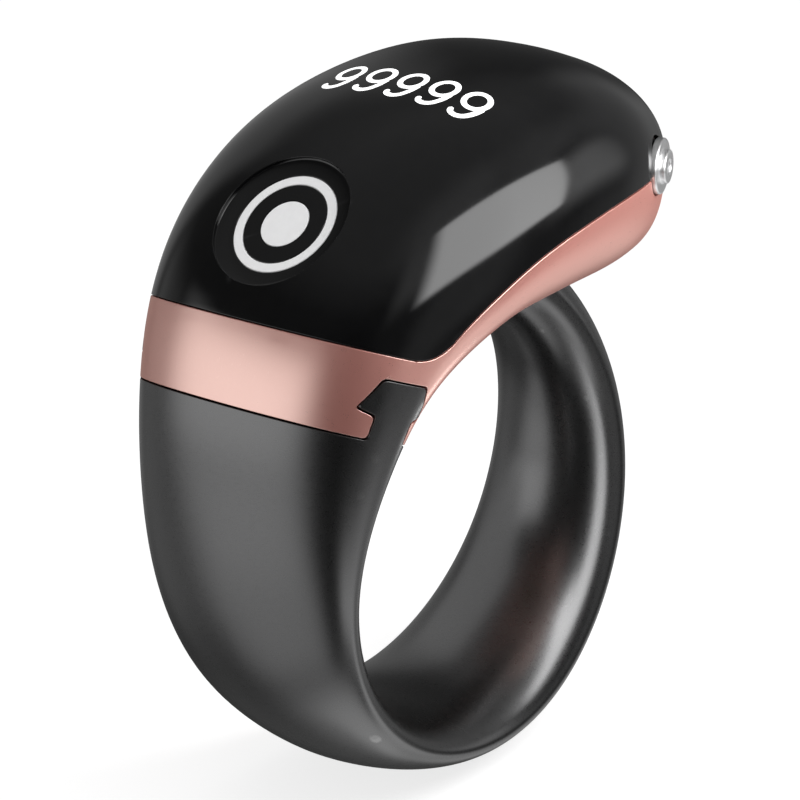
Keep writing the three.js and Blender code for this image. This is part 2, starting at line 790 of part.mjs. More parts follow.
function addSwitch(button, stemEnd) {
  const plungerFront = stemEnd - restGap;
  const bodyFront = plungerFront - plungerProud;
  const bodyBack = bodyFront - switchDepth;
  const well = disc(
    plungerRadius + restGap,
    plungerFront - plungerLength - buttonTravel - restGap,
    bodyFront + 1,
  );
  const side = switchSide / 2;
  const body = solidOf(boxOf(-side, side, -side, side, bodyBack, bodyFront)).subtract(solidOf(well));
  add('switch_body', geometryOf(body), 'plastic', button);
  add('switch_plunger', disc(plungerRadius, plungerFront - plungerLength, plungerFront), 'mark', button);
  const half = switchBoardSide / 2;
  const boardFront = bodyBack - restGap;
  const board = boxOf(-half, half, -half, half, boardFront - switchBoardThickness, boardFront);
  add('switch_board', board, 'board', button);
}

function addDisplay() {
  const display = framedGroup(displayFrame);
  const top = -displayBehind;
  const bottom = top - displayThickness;
  const [wide, long] = [displayWidth / 2, displayLength / 2];
  add('display_panel', boxOf(-wide, wide, -long, long, bottom, top), 'glass', display);
  const foamTop = bottom - restGap;
  const pad = solidOf(boxOf(-wide, wide, -long, long, foamTop - displayFoamThickness, foamTop));
  const open = solidOf(boxOf(
    -wide + displayFoamRim, wide - displayFoamRim, -long + displayFoamRim, long - displayFoamRim,
    foamTop - 1, foamTop + 1,
  ));
  add('display_foam', geometryOf(pad.subtract(open)), 'foam', display);
}

// Top of the carrier, under the display's foam, at a place along X.
function carrierTop(x) {
  const depth = displayBehind + displayThickness + displayFoamThickness + 2 * restGap;
  const at = new THREE.Vector3(0, 0, -depth).applyMatrix4(displayFrame);
  const ahead = new THREE.Vector3(1, 0, -depth).applyMatrix4(displayFrame);
  return at.z + ((x - at.x) * (ahead.z - at.z)) / (ahead.x - at.x);
}

function addCarrier() {
  const low = boardTop + restGap;
  const tabTop = low + carrierTabThickness;
  const outline = [
    new THREE.Vector2(carrierStart, low),
    new THREE.Vector2(carrierEnd, low),
    new THREE.Vector2(carrierEnd, tabTop),
    new THREE.Vector2(carrierTabStart, tabTop),
    new THREE.Vector2(carrierTabStart, carrierTop(carrierTabStart)),
    new THREE.Vector2(carrierStart, carrierTop(carrierStart)),
  ];
  const inside = carrierHalfWidth - carrierWall;
  const mouth = connectorLength / 2 + 0.3;
  const cuts = [
    boxOf(carrierStart + carrierWall, carrierTabStart - carrierWall, -inside, inside, low - 1, low + 9),
    boxOf(carrierTabStart + 0.4, carrierEnd + 1, -mouth, mouth, low - 1, low + 9),
    ...[-screwOffset, screwOffset].map((y) => (
      disc(screwRadius + screwSlack, low - 1, low + 9).translate(screwReach, y, 0)
    )),
  ];
  const frame = solidOf(sidePrism(outline, carrierHalfWidth));
  add('carrier', geometryOf(cuts.reduce((left, cut) => left.subtract(solidOf(cut)), frame)), 'plastic');
  ['front', 'rear'].forEach((side, i) => {
    const y = i === 0 ? -screwOffset : screwOffset;
    const seat = tabTop + restGap;
    const screw = turned([
      [0, seat - screwLength],
      [screwRadius, seat - screwLength],
      [screwRadius, seat],
      [screwHeadRadius, seat],
      [screwHeadRadius, seat + screwHeadHeight * 0.7],
      [screwHeadRadius * 0.75, seat + screwHeadHeight],
      [0, seat + screwHeadHeight],
    ], 16);
    add(`carrier_screw_${side}`, screw.translate(screwReach, y, 0), 'steel');
  });
}

function addBoard() {
  const bottom = boardTop - boardThickness;
  const plate = solidOf(boxOf(boardStart, boardEnd, -boardHalfWidth, boardHalfWidth, bottom, boardTop));
  const holes = [-screwOffset, screwOffset].map((y) => solidOf(
    disc(screwRadius + screwSlack, bottom - 1, boardTop + 1, 16).translate(screwReach, y, 0),
  ));
  add('main_board', geometryOf(holes.reduce((board, hole) => board.subtract(hole), plate)), 'board');
  const onBoard = (x, y, long, wide, high) => boxOf(
    x - long / 2, x + long / 2, y - wide / 2, y + wide / 2, boardTop + restGap, boardTop + restGap + high,
  );
  add('microcontroller', onBoard(chipReach, -0.8, chipSide, chipSide, chipHeight), 'chip');
  add('clock_crystal', onBoard(chipReach, 2.6, 2, 1.2, 0.5), 'steel');
  add('chip_antenna', onBoard(antennaReach, 2.4, antennaThickness, antennaSide, 0.5), 'mark');
  const connector = onBoard(connectorReach, 0, connectorWidth, connectorLength, connectorHeight);
  add('board_connector', connector, 'chip');
}

function addBattery() {
  const floor = fingerRadius + shellWall + flexRoom + flexThickness;
  const tapeLow = floor + restGap;
  const low = tapeLow + tapeThickness + restGap;
  const tape = boxOf(
    batteryStart + batteryEdge, batteryEnd - batteryEdge, -tapeHalfWidth, tapeHalfWidth,
    tapeLow, tapeLow + tapeThickness,
  );
  add('battery_tape', tape, 'foam');
  const high = low + batteryThickness;
  const edge = batteryEdge / 2;
  const pouch = sidePrism([
    new THREE.Vector2(batteryStart + edge, low),
    new THREE.Vector2(batteryEnd - edge, low),
    new THREE.Vector2(batteryEnd, low + edge),
    new THREE.Vector2(batteryEnd, high - edge),
    new THREE.Vector2(batteryEnd - edge, high),
    new THREE.Vector2(batteryStart + edge, high),
    new THREE.Vector2(batteryStart, high - edge),
    new THREE.Vector2(batteryStart, low + edge),
  ], batteryHalfWidth);
  add('battery', pouch, 'pouch');
}

// The motor's own +Z is turned onto the reach.
function addMotor() {
  const frame = new THREE.Matrix4().makeRotationY(Math.PI / 2);
  const motor = framedGroup(frame.setPosition(motorReach, motorOffset, motorHeight));
  const can = turned([
    [motorRadius - motorWall, 0],
    [motorRadius, 0],
    [motorRadius, motorLength],
    [0, motorLength],
    [0, motorLength - motorWall],
    [motorRadius - motorWall, motorLength - motorWall],
    [motorRadius - motorWall, 0],
  ]);
  add('motor_can', can, 'steel', motor);
  add('motor_base', disc(motorRadius - motorWall - rotorSlack, -motorBaseThickness, 0), 'plastic', motor);
  const shaftTop = motorLength - motorWall - restGap;
  add('motor_shaft', disc(motorShaftRadius, restGap, shaftTop, 12), 'steel', motor);
  const rotorLow = (shaftTop - rotorThickness) / 2;
  const rotorRadius = motorRadius - motorWall - rotorSlack;
  const hub = disc(motorShaftRadius + 0.5, rotorLow, rotorLow + rotorThickness);
  const sector = disc(rotorRadius, rotorLow, rotorLow + rotorThickness);
  const lower = boxOf(-cutLength, 0, -cutLength, cutLength, -cutLength, cutLength);
  const bore = disc(motorShaftRadius + restGap, -1, motorLength, 16);
  const rotor = solidOf(sector).subtract(solidOf(lower)).add(solidOf(hub)).subtract(solidOf(bore));
  add('motor_rotor', geometryOf(rotor), 'brass', motor);
}

function addCharging() {
  const charge = framedGroup(chargeFrame);
  const [wide, long] = [chargePadWidth / 2, chargePadLength / 2];
  const top = chargeFace + chargePadThickness;
  const plate = solidOf(boxOf(-wide, wide, -long, long, chargeFace, top));
  const pinHole = (y) => solidOf(turned([
    [0, chargeFace - 1],
    [pinHeadRadius + markSlack, chargeFace - 1],
    [pinHeadRadius + markSlack, chargeFace + pinHeadThickness + markSlack],
    [pinRadius + markSlack, chargeFace + pinHeadThickness + markSlack],
    [pinRadius + markSlack, top + 1],
    [0, top + 1],
  ]).translate(0, y, 0));
  const places = [-pinSpacing / 2, pinSpacing / 2];
  const pad = places.reduce((left, y) => left.subtract(pinHole(y)), plate);
  add('charge_pad', geometryOf(pad), 'plastic', charge);
  places.forEach((y, i) => {
    const pin = turned([
      [0, chargeFace],
      [pinHeadRadius, chargeFace],
      [pinHeadRadius, chargeFace + pinHeadThickness],
      [pinRadius, chargeFace + pinHeadThickness],
      [pinRadius, top + restGap],
      [0, top + restGap],
    ]);
    add(`charge_pin_${i === 0 ? 'front' : 'rear'}`, pin.translate(0, y, 0), 'gold', charge);
  });
}

function addFlexes() {
  const floor = fingerRadius + chargeFace + chargePadThickness + 2 * restGap + flexThickness;
  const rise = batteryEnd + 0.5;
  const boardBottom = boardTop - boardThickness;
  const charge = [112, 104, 97, 90].map((turn) => {
    const at = profilePoint(turn, floor);
    return [at.x, at.y];
  });
  const away = [
    [rise - 1.2, floor],
    [rise - 0.1, floor + 0.5],
    [rise, floor + 1.6],
    [rise, boardBottom - restGap],
  ];
  add('charge_flex', strip([...charge, [1.8, floor], ...away], flexWidth, 24), 'flex');

  const edge = new THREE.Vector3(displayWidth / 2 + restGap, 0, -displayBehind - displayThickness / 2);
  edge.applyMatrix4(displayFrame);
  const plug = boardTop + connectorHeight + 3 * restGap;
  const display = [
    [edge.x, edge.z],
    [edge.x + 1.2, edge.z + 0.1],
    [edge.x + 2, edge.z - 0.8],
    [connectorReach + 0.1, plug + 1],
    [connectorReach, plug],
  ];
  add('display_flex', strip(display, flexWidth, 16), 'flex');

  const back = -shellWall - touchBoardBehind - touchBoardThickness - flexThickness - restGap;
  const start = new THREE.Vector3(-0.6, 0, back).applyMatrix4(keyFrame);
  const bend = new THREE.Vector3(1.2, 0, back - 0.1).applyMatrix4(keyFrame);
  const end = boardTop + flexThickness / 2 + restGap;
  const touch = [
    [start.x, start.z],
    [bend.x, bend.z],
    [boardStart - 0.5, end + 0.1],
    [carrierStart - 0.3, end],
  ];
  add('touch_flex', strip(touch, flexWidth, 12), 'flex');
}

addShells();
addTouchKey();
addButton();
addDisplay();
addCarrier();
addBoard();
addBattery();
addMotor();
addCharging();
addFlexes();

export default group;
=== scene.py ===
"""Looks of a digital finger counter: a tally ring with a display head and a slide-off band.

Shapes are worked out in millimetres, in the frame of the CAD model, and turned into metres last.
The numbers of the ring's sections and cuts are those of the CAD source. The sections' numbers come
from fits to the object's outlines, rounded to 0.05.
"""

import math

import bmesh
import bpy
import numpy as np
from mathutils import Matrix, Vector


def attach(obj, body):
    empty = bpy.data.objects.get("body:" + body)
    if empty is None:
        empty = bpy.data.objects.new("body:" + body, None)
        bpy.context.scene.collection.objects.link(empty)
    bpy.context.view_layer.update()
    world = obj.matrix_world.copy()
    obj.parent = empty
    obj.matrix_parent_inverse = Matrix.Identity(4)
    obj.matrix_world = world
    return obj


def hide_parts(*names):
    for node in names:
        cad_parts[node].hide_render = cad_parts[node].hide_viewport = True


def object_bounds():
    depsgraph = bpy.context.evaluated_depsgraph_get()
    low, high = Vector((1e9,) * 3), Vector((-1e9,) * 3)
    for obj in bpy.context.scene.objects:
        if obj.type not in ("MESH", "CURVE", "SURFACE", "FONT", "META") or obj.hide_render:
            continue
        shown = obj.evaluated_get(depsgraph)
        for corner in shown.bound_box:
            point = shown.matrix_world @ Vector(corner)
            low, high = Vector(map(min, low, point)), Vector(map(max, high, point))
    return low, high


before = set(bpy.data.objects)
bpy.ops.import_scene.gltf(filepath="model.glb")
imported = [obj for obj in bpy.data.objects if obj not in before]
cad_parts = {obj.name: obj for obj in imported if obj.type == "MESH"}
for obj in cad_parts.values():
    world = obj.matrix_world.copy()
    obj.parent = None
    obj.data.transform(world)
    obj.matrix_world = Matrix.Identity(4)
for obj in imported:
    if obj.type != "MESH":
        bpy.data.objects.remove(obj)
CAD_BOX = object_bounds()

# ---------------------------------------------------------------- sizes, in millimetres

MM = 0.001
TO_METRES = Matrix.Scale(MM, 4)

HOLE = 10.0
OVERHANG = 13.7
NOSE_ROUNDING = 3.4
WALL = 1.1
SEAM_GAP = 0.08
TURNS_PER_REACH = 4.0
BEND_TURNS = 20.0
TIP = 0.03

# turn, crown, waist, half width, shoulder exponent, belly exponent
SECTIONS = (
    (36, 10, 6.45, 6.25, 2.2, 2.45),
    (46, 10.7, 6.15, 7.15, 2.2, 2.45),
    (58, 11.7, 6.05, 8.3, 2.3, 2.4),
    (74, 12.15, 5.7, 8.95, 2.45, 2.35),
    (90, 11.6, 5.15, 9.25, 2.55, 2.35),
    (110, 10.25, 4.45, 9.15, 2.45, 2.25),
    (130, 8.8, 3.8, 8.2, 2.35, 2.2),
    (149, 6.8, 2.75, 7.4, 2.2, 2.05),
    (180, 4.5, 2.25, 6.45, 1.9, 1.9),
    (215, 4, 2, 5.9, 1.8, 1.9),
    (255, 3.7, 1.85, 5.55, 1.8, 1.9),
    (295, 4.35, 2.2, 5.15, 1.8, 1.9),
    (330, 4.55, 2.3, 4.55, 1.8, 1.9),
    (365, 4.45, 2.25, 3.85, 1.8, 1.9),
    (400, 4.2, 2.2, 2.9, 1.8, 1.9),
    (432, 3.7, 2.2, 1.8, 1.8, 1.9),
)

JOINT_TILT = 20.5
BAND_EDGE_HEIGHT = 3.15
BARB_HEIGHT = 4.35
BARB_SLOPE = 0.22
TONGUE_TOP_HEIGHT = 6.0
COVER_EDGE_HEIGHT = 7.2
TONGUE_DEPTH = 13.12
NECK_WIDTH = 2.0
BARB_WIDTH = 3.5
TONGUE_TOP_WIDTH = 2.25
TONGUE_ROUNDING = 0.2
COVER_CORNER = 1.6

SEAT_HEIGHT = 10.0
BAND_BUTT_REACH = 4.4
BAND_SHOULDER_REACH = 9.0
BAND_SHOULDER = 1.95
RIDGE_REACH = 8.0
RIDGE_WIDTH = 1.4
RIDGE_HEIGHT = 0.5
BAND_SLACK = 0.08
SEAT_LOW = 8.5
SEAT_TOP = 10.9
CUT_LENGTH = 40.0

KEY_TURN = 121.0
DISH_RADIUS = 3.55
DISH_DEPTH = 0.68
DISH_RIM_DEPTH = 0.5
RING_OUTER = 2.67
RING_INNER = 2.2
DOT_RADIUS = 1.25
MARK_DEPTH = 0.22
MARK_SLACK = 0.03

BUTTON_REACH = 9.4
BUTTON_HEIGHT = 16.4
BUTTON_TURN = 20.0
FLANGE_RADIUS = 1.4
FLANGE_THICKNESS = 0.4
FLANGE_PROUD = 0.2
BOSS_RADIUS = 0.86
BOSS_HEIGHT = 0.3
DIMPLE_RADIUS = 0.42
DIMPLE_DEPTH = 0.1
STEM_RADIUS = 0.55
STEM_LENGTH = 2.4
RECESS_SLACK = 0.1
BUTTON_TRAVEL = 0.3
BUTTON_BLOCK_RADIUS = 2.1
BUTTON_BLOCK_DEPTH = 2.15
BORE_SLACK = 0.07

CHARGE_TURN = 104.0
CHARGE_FACE = 0.2
CHARGE_PAD_LENGTH = 6.4
CHARGE_PAD_WIDTH = 3.2
CHARGE_PAD_THICKNESS = 0.9
PIN_SPACING = 3.2
PIN_RADIUS = 0.6
PIN_HEAD_RADIUS = 0.85
PIN_HEAD_THICKNESS = 0.25

DIGIT_PITCH = 1.918
DIGIT_START = 4.064
DIGIT_FOOT = -2.56
DIGIT_STROKE = 0.285

DIGIT_PROUD = 0.006
DIGIT_SUNK = -0.05
DIGIT_SQUASH = 0.965
DIGIT_LANES = 5
DIGITS = 5

EDGE_ROUND = 0.035
EDGE_ANGLE = math.radians(38)
WELD_GAP = 0.012
RIM_ROOM = 0.11
MARK_EDGE = 0.03
BUTTON_EDGE = 0.1
BOSS_FILLET = 0.07
DIMPLE_EDGE = 0.05
STEM_EDGE = 0.06
FLANGE_BACK_EDGE = 0.04
PAD_EDGE = 0.05
PIN_EDGE = 0.08
PIN_TAIL = 0.05

HEAD_SIDES = 176
HEAD_STEP = 1.1
CAVITY_SIDES = 112
CAVITY_STEP = 1.6
KEY_SIDES = 144
BUTTON_SIDES = 96
SMALL_SIDES = 72
BAND_SIDES = 128
BAND_TURNS = np.arange(128, 433.1, 1.25)
SADDLE_TURNS = np.linspace(390, 452, 45)


# ---------------------------------------------------------------- the ring's form

def natural_spline(values):
    """Natural cubic spline over the sections' turns, held level past its ends."""
    knots = np.array([row[0] for row in SECTIONS], float)
    values = np.array(values, float)
    last = len(knots) - 1
    step = np.diff(knots)
    slope = np.diff(values) / step
    matrix = np.eye(last + 1)
    right = np.zeros(last + 1)
    for i in range(1, last):
        matrix[i, i - 1:i + 2] = step[i - 1], 2 * (step[i - 1] + step[i]), step[i]
        right[i] = 6 * (slope[i] - slope[i - 1])
    bend = np.linalg.solve(matrix, right)

    def at(place):
        where = np.clip(np.asarray(place, float), knots[0], knots[-1])
        i = np.clip(np.searchsorted(knots, where), 1, last)
        span = knots[i] - knots[i - 1]
        low = (knots[i] - where) / span
        high = 1 - low
        cubic = (low ** 3 - low) * bend[i - 1] + (high ** 3 - high) * bend[i]
        return low * values[i - 1] + high * values[i] + cubic * span * span / 6

    return at


crown_at, waist_at, half_at, shoulder_at, belly_at = [
    natural_spline([row[k] for row in SECTIONS]) for k in range(1, 6)
]


def bent_by(turn):
    share = np.clip((turn - 90 + BEND_TURNS) / (2 * BEND_TURNS), 0, 1)
    return 2 * BEND_TURNS * (share ** 3 - share ** 4 / 2)


def reach_of(turn):
    return np.where(turn < 90 + BEND_TURNS, (90 - turn + bent_by(turn)) / TURNS_PER_REACH, 0.0)


def angle_of(turn):
    return np.radians(np.where(turn < 90 + BEND_TURNS, 90 + bent_by(turn), turn))


def profile_point(turn, radius):
    """A point of the side view (x, z), a distance out from the finger hole's centre line."""
    turn = np.asarray(turn, float)
    angle = angle_of(turn)
    return np.array([reach_of(turn) + radius * np.cos(angle), radius * np.sin(angle)])


def section_points(turns, phases, inset=0.0):
    """Points of the ring's body, one row for each turn and one column for each phase."""
    turn = np.asarray(turns, float)[:, None]
    phase = np.asarray(phases, float)[None, :]
    waist = HOLE + waist_at(turn)
    crown = HOLE + crown_at(turn) - inset - waist
    belly = waist - HOLE - inset
    half = half_at(turn) - inset
    along = np.clip((reach_of(turn) - (OVERHANG - inset - NOSE_ROUNDING)) / NOSE_ROUNDING, 0, 1)
    shrink = np.sqrt(np.clip(1 - along ** 2.2, 0, 1))
    up, side = np.cos(phase), np.sin(phase)
    power = np.where(up > 0, shoulder_at(turn), belly_at(turn))
    across = np.sqrt(side ** 2 + TIP ** 2) ** power + np.sqrt(up ** 2 + TIP ** 2) ** power
    size = shrink / across ** (1 / power)
    radius = waist + up * size * np.where(up > 0, crown, belly)
    angle = angle_of(turn)
    x = reach_of(turn) + radius * np.cos(angle)
    return np.stack([x, side * size * half, radius * np.sin(angle)], -1)


def phases_of(sides):
    """Places round a section, with the waist line halfway between two of them."""
    return (np.arange(sides) + 0.5) * 2 * math.pi / sides


def head_turns(inset, end_turn, step):
    """Turns from the tip of the nose round to the given end."""
    theta = np.radians(np.linspace(0, 90, 27))
    nose = OVERHANG - inset - NOSE_ROUNDING * (1 - np.cos(theta) ** (1 / 1.1))
    turns = list(90 - TURNS_PER_REACH * nose)
    first = turns[-1]
    count = int(math.ceil((end_turn - first) / step))
    return turns + list(np.linspace(first, end_turn, count + 1)[1:])


def surface_point(x, y):
    """The point of the cover's top at a place along X and Y."""
    x, y = np.broadcast_arrays(np.asarray(x, float), np.asarray(y, float))
    low, high = np.full(x.shape, 55.0), np.full(x.shape, 140.0)
    for _ in range(48):
        turn = (low + high) / 2
        radius = top_radius(turn, y)
        too_far = profile_point(turn, radius)[0] > x
        low, high = np.where(too_far, turn, low), np.where(too_far, high, turn)
    place = profile_point(turn, top_radius(turn, y))
    return np.stack([place[0], y, place[1]], -1)


def top_radius(turn, y):
    waist = HOLE + waist_at(turn)
    power = shoulder_at(turn)
    share = np.clip(1 - np.abs(y / half_at(turn)) ** power, 0, 1) ** (1 / power)
    return waist + (HOLE + crown_at(turn) - waist) * share


# ---------------------------------------------------------------- frames of the sub-parts

JOINT_UP = np.array([math.sin(math.radians(JOINT_TILT)), math.cos(math.radians(JOINT_TILT))])
JOINT_OUT = np.array([-JOINT_UP[1], JOINT_UP[0]])


def joint_point(height, depth):
    return JOINT_UP * height + JOINT_OUT * depth


def basis(x_axis, y_axis, z_axis, origin):
    rows = [[x_axis[i], y_axis[i], z_axis[i], origin[i]] for i in range(3)]
    return Matrix(rows + [[0, 0, 0, 1]])


def surface_frame(turn):
    at = profile_point(turn, HOLE + crown_at(turn))
    ahead = profile_point(turn - 0.5, HOLE + crown_at(turn - 0.5))
    behind = profile_point(turn + 0.5, HOLE + crown_at(turn + 0.5))
    along = (ahead - behind) / np.linalg.norm(ahead - behind)
    return basis((along[0], 0, along[1]), (0, 1, 0), (-along[1], 0, along[0]), (at[0], 0, at[1]))


def button_frame():
    turn = 90 - TURNS_PER_REACH * BUTTON_REACH
    waist = HOLE + waist_at(turn)
    share = (BUTTON_HEIGHT - waist) / (HOLE + crown_at(turn) - waist)
    power = shoulder_at(turn)
    half = half_at(turn) * (1 - abs(share) ** power) ** (1 / power)
    angle = math.radians(BUTTON_TURN)
    out = Vector((math.sin(angle), -math.cos(angle), 0))
    up = Vector((0, 0, 1))
    return basis(up.cross(out), up, out, (BUTTON_REACH, -half, BUTTON_HEIGHT))


KEY_FRAME = surface_frame(KEY_TURN)
BUTTON_FRAME = button_frame()
CHARGE_ANGLE = math.radians(CHARGE_TURN)
CHARGE_FRAME = Matrix.Translation(
    (HOLE * math.cos(CHARGE_ANGLE), 0, HOLE * math.sin(CHARGE_ANGLE))
) @ Matrix.Rotation(math.radians(90) - CHARGE_ANGLE, 4, "Y")


# ---------------------------------------------------------------- mesh helpers

def add_object(name, data):
    made = bpy.data.objects.new(name, data)
    bpy.context.scene.collection.objects.link(made)
    return made


def mesh_object(name, verts, faces):
    mesh = bpy.data.meshes.new(name)
    mesh.from_pydata([tuple(map(float, v)) for v in verts], [], [tuple(f) for f in faces])
    mesh.validate()
    return add_object(name, mesh)


def grid_faces(rows, columns, start=0):
    faces = []
    for r in range(rows - 1):
        for i in range(columns):
            a, b = start + r * columns + i, start + r * columns + (i + 1) % columns
            faces.append((a, b, b + columns, a + columns))
    return faces


def loft(name, grid, pole=None):
    """A closed skin over rings of points, with a pole in front of the first ring if given."""
    rows, columns = grid.shape[:2]
    verts = list(grid.reshape(-1, 3))
    faces = grid_faces(rows, columns)
    if pole is None:
        faces.append(tuple(reversed(range(columns))))
    else:
        hub = len(verts)
        verts.append(pole)
        faces += [(hub, (i + 1) % columns, i) for i in range(columns)]
    faces.append(tuple(range((rows - 1) * columns, rows * columns)))
    return mesh_object(name, verts, faces)


def head_body(name, inset, end_turn, sides, step):
    grid = section_points(head_turns(inset, end_turn, step), phases_of(sides), inset)
    return loft(name, grid[1:], grid[0].mean(0))


def side_prism(name, outline):
    """An outline in the side view, drawn out along the finger to both sides."""
    count = len(outline)
    verts = [(x, y, z) for y in (-CUT_LENGTH / 2, CUT_LENGTH / 2) for x, z in outline]
    faces = [tuple(range(count)), tuple(reversed(range(count, 2 * count)))]
    faces += [(i, i + count, (i + 1) % count + count, (i + 1) % count) for i in range(count)]
    made = mesh_object(name, verts, faces)
    outwards(made)
    return made


def outwards(obj):
    bm = bmesh.new()
    bm.from_mesh(obj.data)
    bmesh.ops.recalc_face_normals(bm, faces=bm.faces)
    bm.to_mesh(obj.data)
    bm.free()


def turned(name, profile, sides, place):
    """A turned solid about local +Z from pairs of radius and height, from the axis to the axis."""
    verts, rings = [], []
    for radius, height in profile:
        if radius < 1e-9:
            rings.append([len(verts)])
            verts.append((0, 0, height))
            continue
        rings.append(list(range(len(verts), len(verts) + sides)))
        for i in range(sides):
            angle = 2 * math.pi * i / sides
            verts.append((radius * math.cos(angle), radius * math.sin(angle), height))
    closed = len(rings[0]) > 1
    faces = []
    for k in range(len(rings) if closed else len(rings) - 1):
        low, high = rings[k], rings[(k + 1) % len(rings)]
        for i in range(sides):
            j = (i + 1) % sides
            if len(low) == 1:
                faces.append((low[0], high[j], high[i]))
            elif len(high) == 1:
                faces.append((low[i], low[j], high[0]))
            else:
                faces.append((low[i], low[j], high[j], high[i]))
    made = mesh_object(name, verts, faces)
    made.data.transform(place)
    outwards(made)
    return made


def box_solid(name, low, high, place=Matrix.Identity(4)):
    verts = [(x, y, z) for z in (low[2], high[2]) for y in (low[1], high[1]) for x in (low[0], high[0])]
    faces = [(0, 2, 3, 1), (4, 5, 7, 6), (0, 1, 5, 4), (2, 6, 7, 3), (0, 4, 6, 2), (1, 3, 7, 5)]
    made = mesh_object(name, verts, faces)
    made.data.transform(place)
    return made


def freeze(obj):
    """Takes the modifiers' result as the object's own mesh."""
    bpy.context.view_layer.update()
    graph = bpy.context.evaluated_depsgraph_get()
    mesh = bpy.data.meshes.new_from_object(obj.evaluated_get(graph))
    obj.modifiers.clear()
    old, obj.data = obj.data, mesh
    bpy.data.meshes.remove(old)


def combine(obj, tool, operation, keep=False):
    cut = obj.modifiers.new("cut", "BOOLEAN")
    cut.operation = operation
    cut.solver = "EXACT"
    cut.object = tool
    freeze(obj)
    if not keep:
        drop(tool)
    return obj


def drop(obj):
    mesh = obj.data
    bpy.data.objects.remove(obj)
    bpy.data.meshes.remove(mesh)


def copy_of(obj, name):
    return add_object(name, obj.data.copy())


def tidy_cut(obj):
    """Joins the tiny edges that a cut leaves, and draws skin vertices that crowd a cut's edge onto it."""
    bm = bmesh.new()
    bm.from_mesh(obj.data)
    bmesh.ops.remove_doubles(bm, verts=bm.verts, dist=WELD_GAP)
    bmesh.ops.dissolve_degenerate(bm, edges=bm.edges, dist=WELD_GAP / 2)
    for _ in range(2):
        sharp = {
            v for e in bm.edges if len(e.link_faces) == 2 and e.calc_face_angle(0) > EDGE_ANGLE
            for v in e.verts
        }
        moves = {}
        short = [e for e in bm.edges if e.calc_length() < RIM_ROOM]
        for edge in sorted(short, key=lambda e: e.calc_length()):
            a, b = edge.verts
            if (a in sharp) == (b in sharp):
                continue
            skin, rim = (b, a) if a in sharp else (a, b)
            if skin not in moves and skin not in moves.values() and rim not in moves:
                moves[skin] = rim
        bmesh.ops.weld_verts(bm, targetmap=moves)
        bmesh.ops.dissolve_degenerate(bm, edges=bm.edges, dist=WELD_GAP / 2)
    bm.to_mesh(obj.data)
    bm.free()


def round_edges(obj, width):
    bevel = obj.modifiers.new("edge", "BEVEL")
    bevel.limit_method = "ANGLE"
    bevel.angle_limit = EDGE_ANGLE
    bevel.width = width
    bevel.segments = 3
    bevel.use_clamp_overlap = False
    bevel.loop_slide = True
    freeze(obj)


def finish_piece(obj, material, body, nodes=(), smooth=50):
    """Metres, smooth shading, material, and the body that the piece moves with."""
    mesh = obj.data
    mesh.materials.clear()
    mesh.materials.append(material)
    mesh.polygons.foreach_set("material_index", [0] * len(mesh.polygons))
    mesh.shade_smooth()
    mesh.set_sharp_from_angle(angle=math.radians(smooth))
    weighted = obj.modifiers.new("normals", "WEIGHTED_NORMAL")
    weighted.keep_sharp = True
    weighted.weight = 60
    freeze(obj)
    obj.data.transform(TO_METRES)
    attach(obj, body)
    if nodes:
        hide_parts(*nodes)
    return obj


# ---------------------------------------------------------------- cutting outlines

def bezier(start, control, end, steps):
    t = np.linspace(0, 1, steps + 1)[:, None]
    start, control, end = map(np.asarray, (start, control, end))
    return list((1 - t) ** 2 * start + 2 * t * (1 - t) * control + t ** 2 * end)


def waist_point(turn, grow):
    return profile_point(turn, HOLE + waist_at(turn) - grow)


def waist_turn_at(height, grow):
    turn = 100.0
    while turn < 150:
        if waist_point(turn, grow) @ JOINT_UP < height:
            break
        turn += 0.25
    return turn


def cover_outline(grow):
    corner_turn = waist_turn_at(COVER_EDGE_HEIGHT - grow, grow)
    corner_radius = HOLE + waist_at(corner_turn) - grow
    last_turn = corner_turn - math.degrees(COVER_CORNER / corner_radius)
    turns = np.arange(90 - TURNS_PER_REACH * (OVERHANG + 3), last_turn - 1, 1.5)
    points = [waist_point(turn, grow) for turn in turns]
    corner = profile_point(corner_turn, corner_radius)
    points += bezier(waist_point(last_turn, grow), corner, corner + JOINT_OUT * COVER_CORNER, 18)
    points.append(joint_point(COVER_EDGE_HEIGHT - grow, CUT_LENGTH / 2))
    points.append((-CUT_LENGTH / 2, CUT_LENGTH))
    points.append((OVERHANG + 3, CUT_LENGTH))
    return points


def rounded_chain(points, rounding):
    """A chain of points with its inner corners rounded, each by no more than half of its shorter side."""
    chain = [points[0]]
    for before, corner, after in zip(points, points[1:], points[2:]):
        inward, outward = np.linalg.norm(before - corner), np.linalg.norm(after - corner)
        reach = min(rounding, inward / 2, outward / 2)
        start = corner + (before - corner) * reach / inward
        end = corner + (after - corner) * reach / outward
        chain += bezier(start, corner, end, 6)
    return chain + [points[-1]]


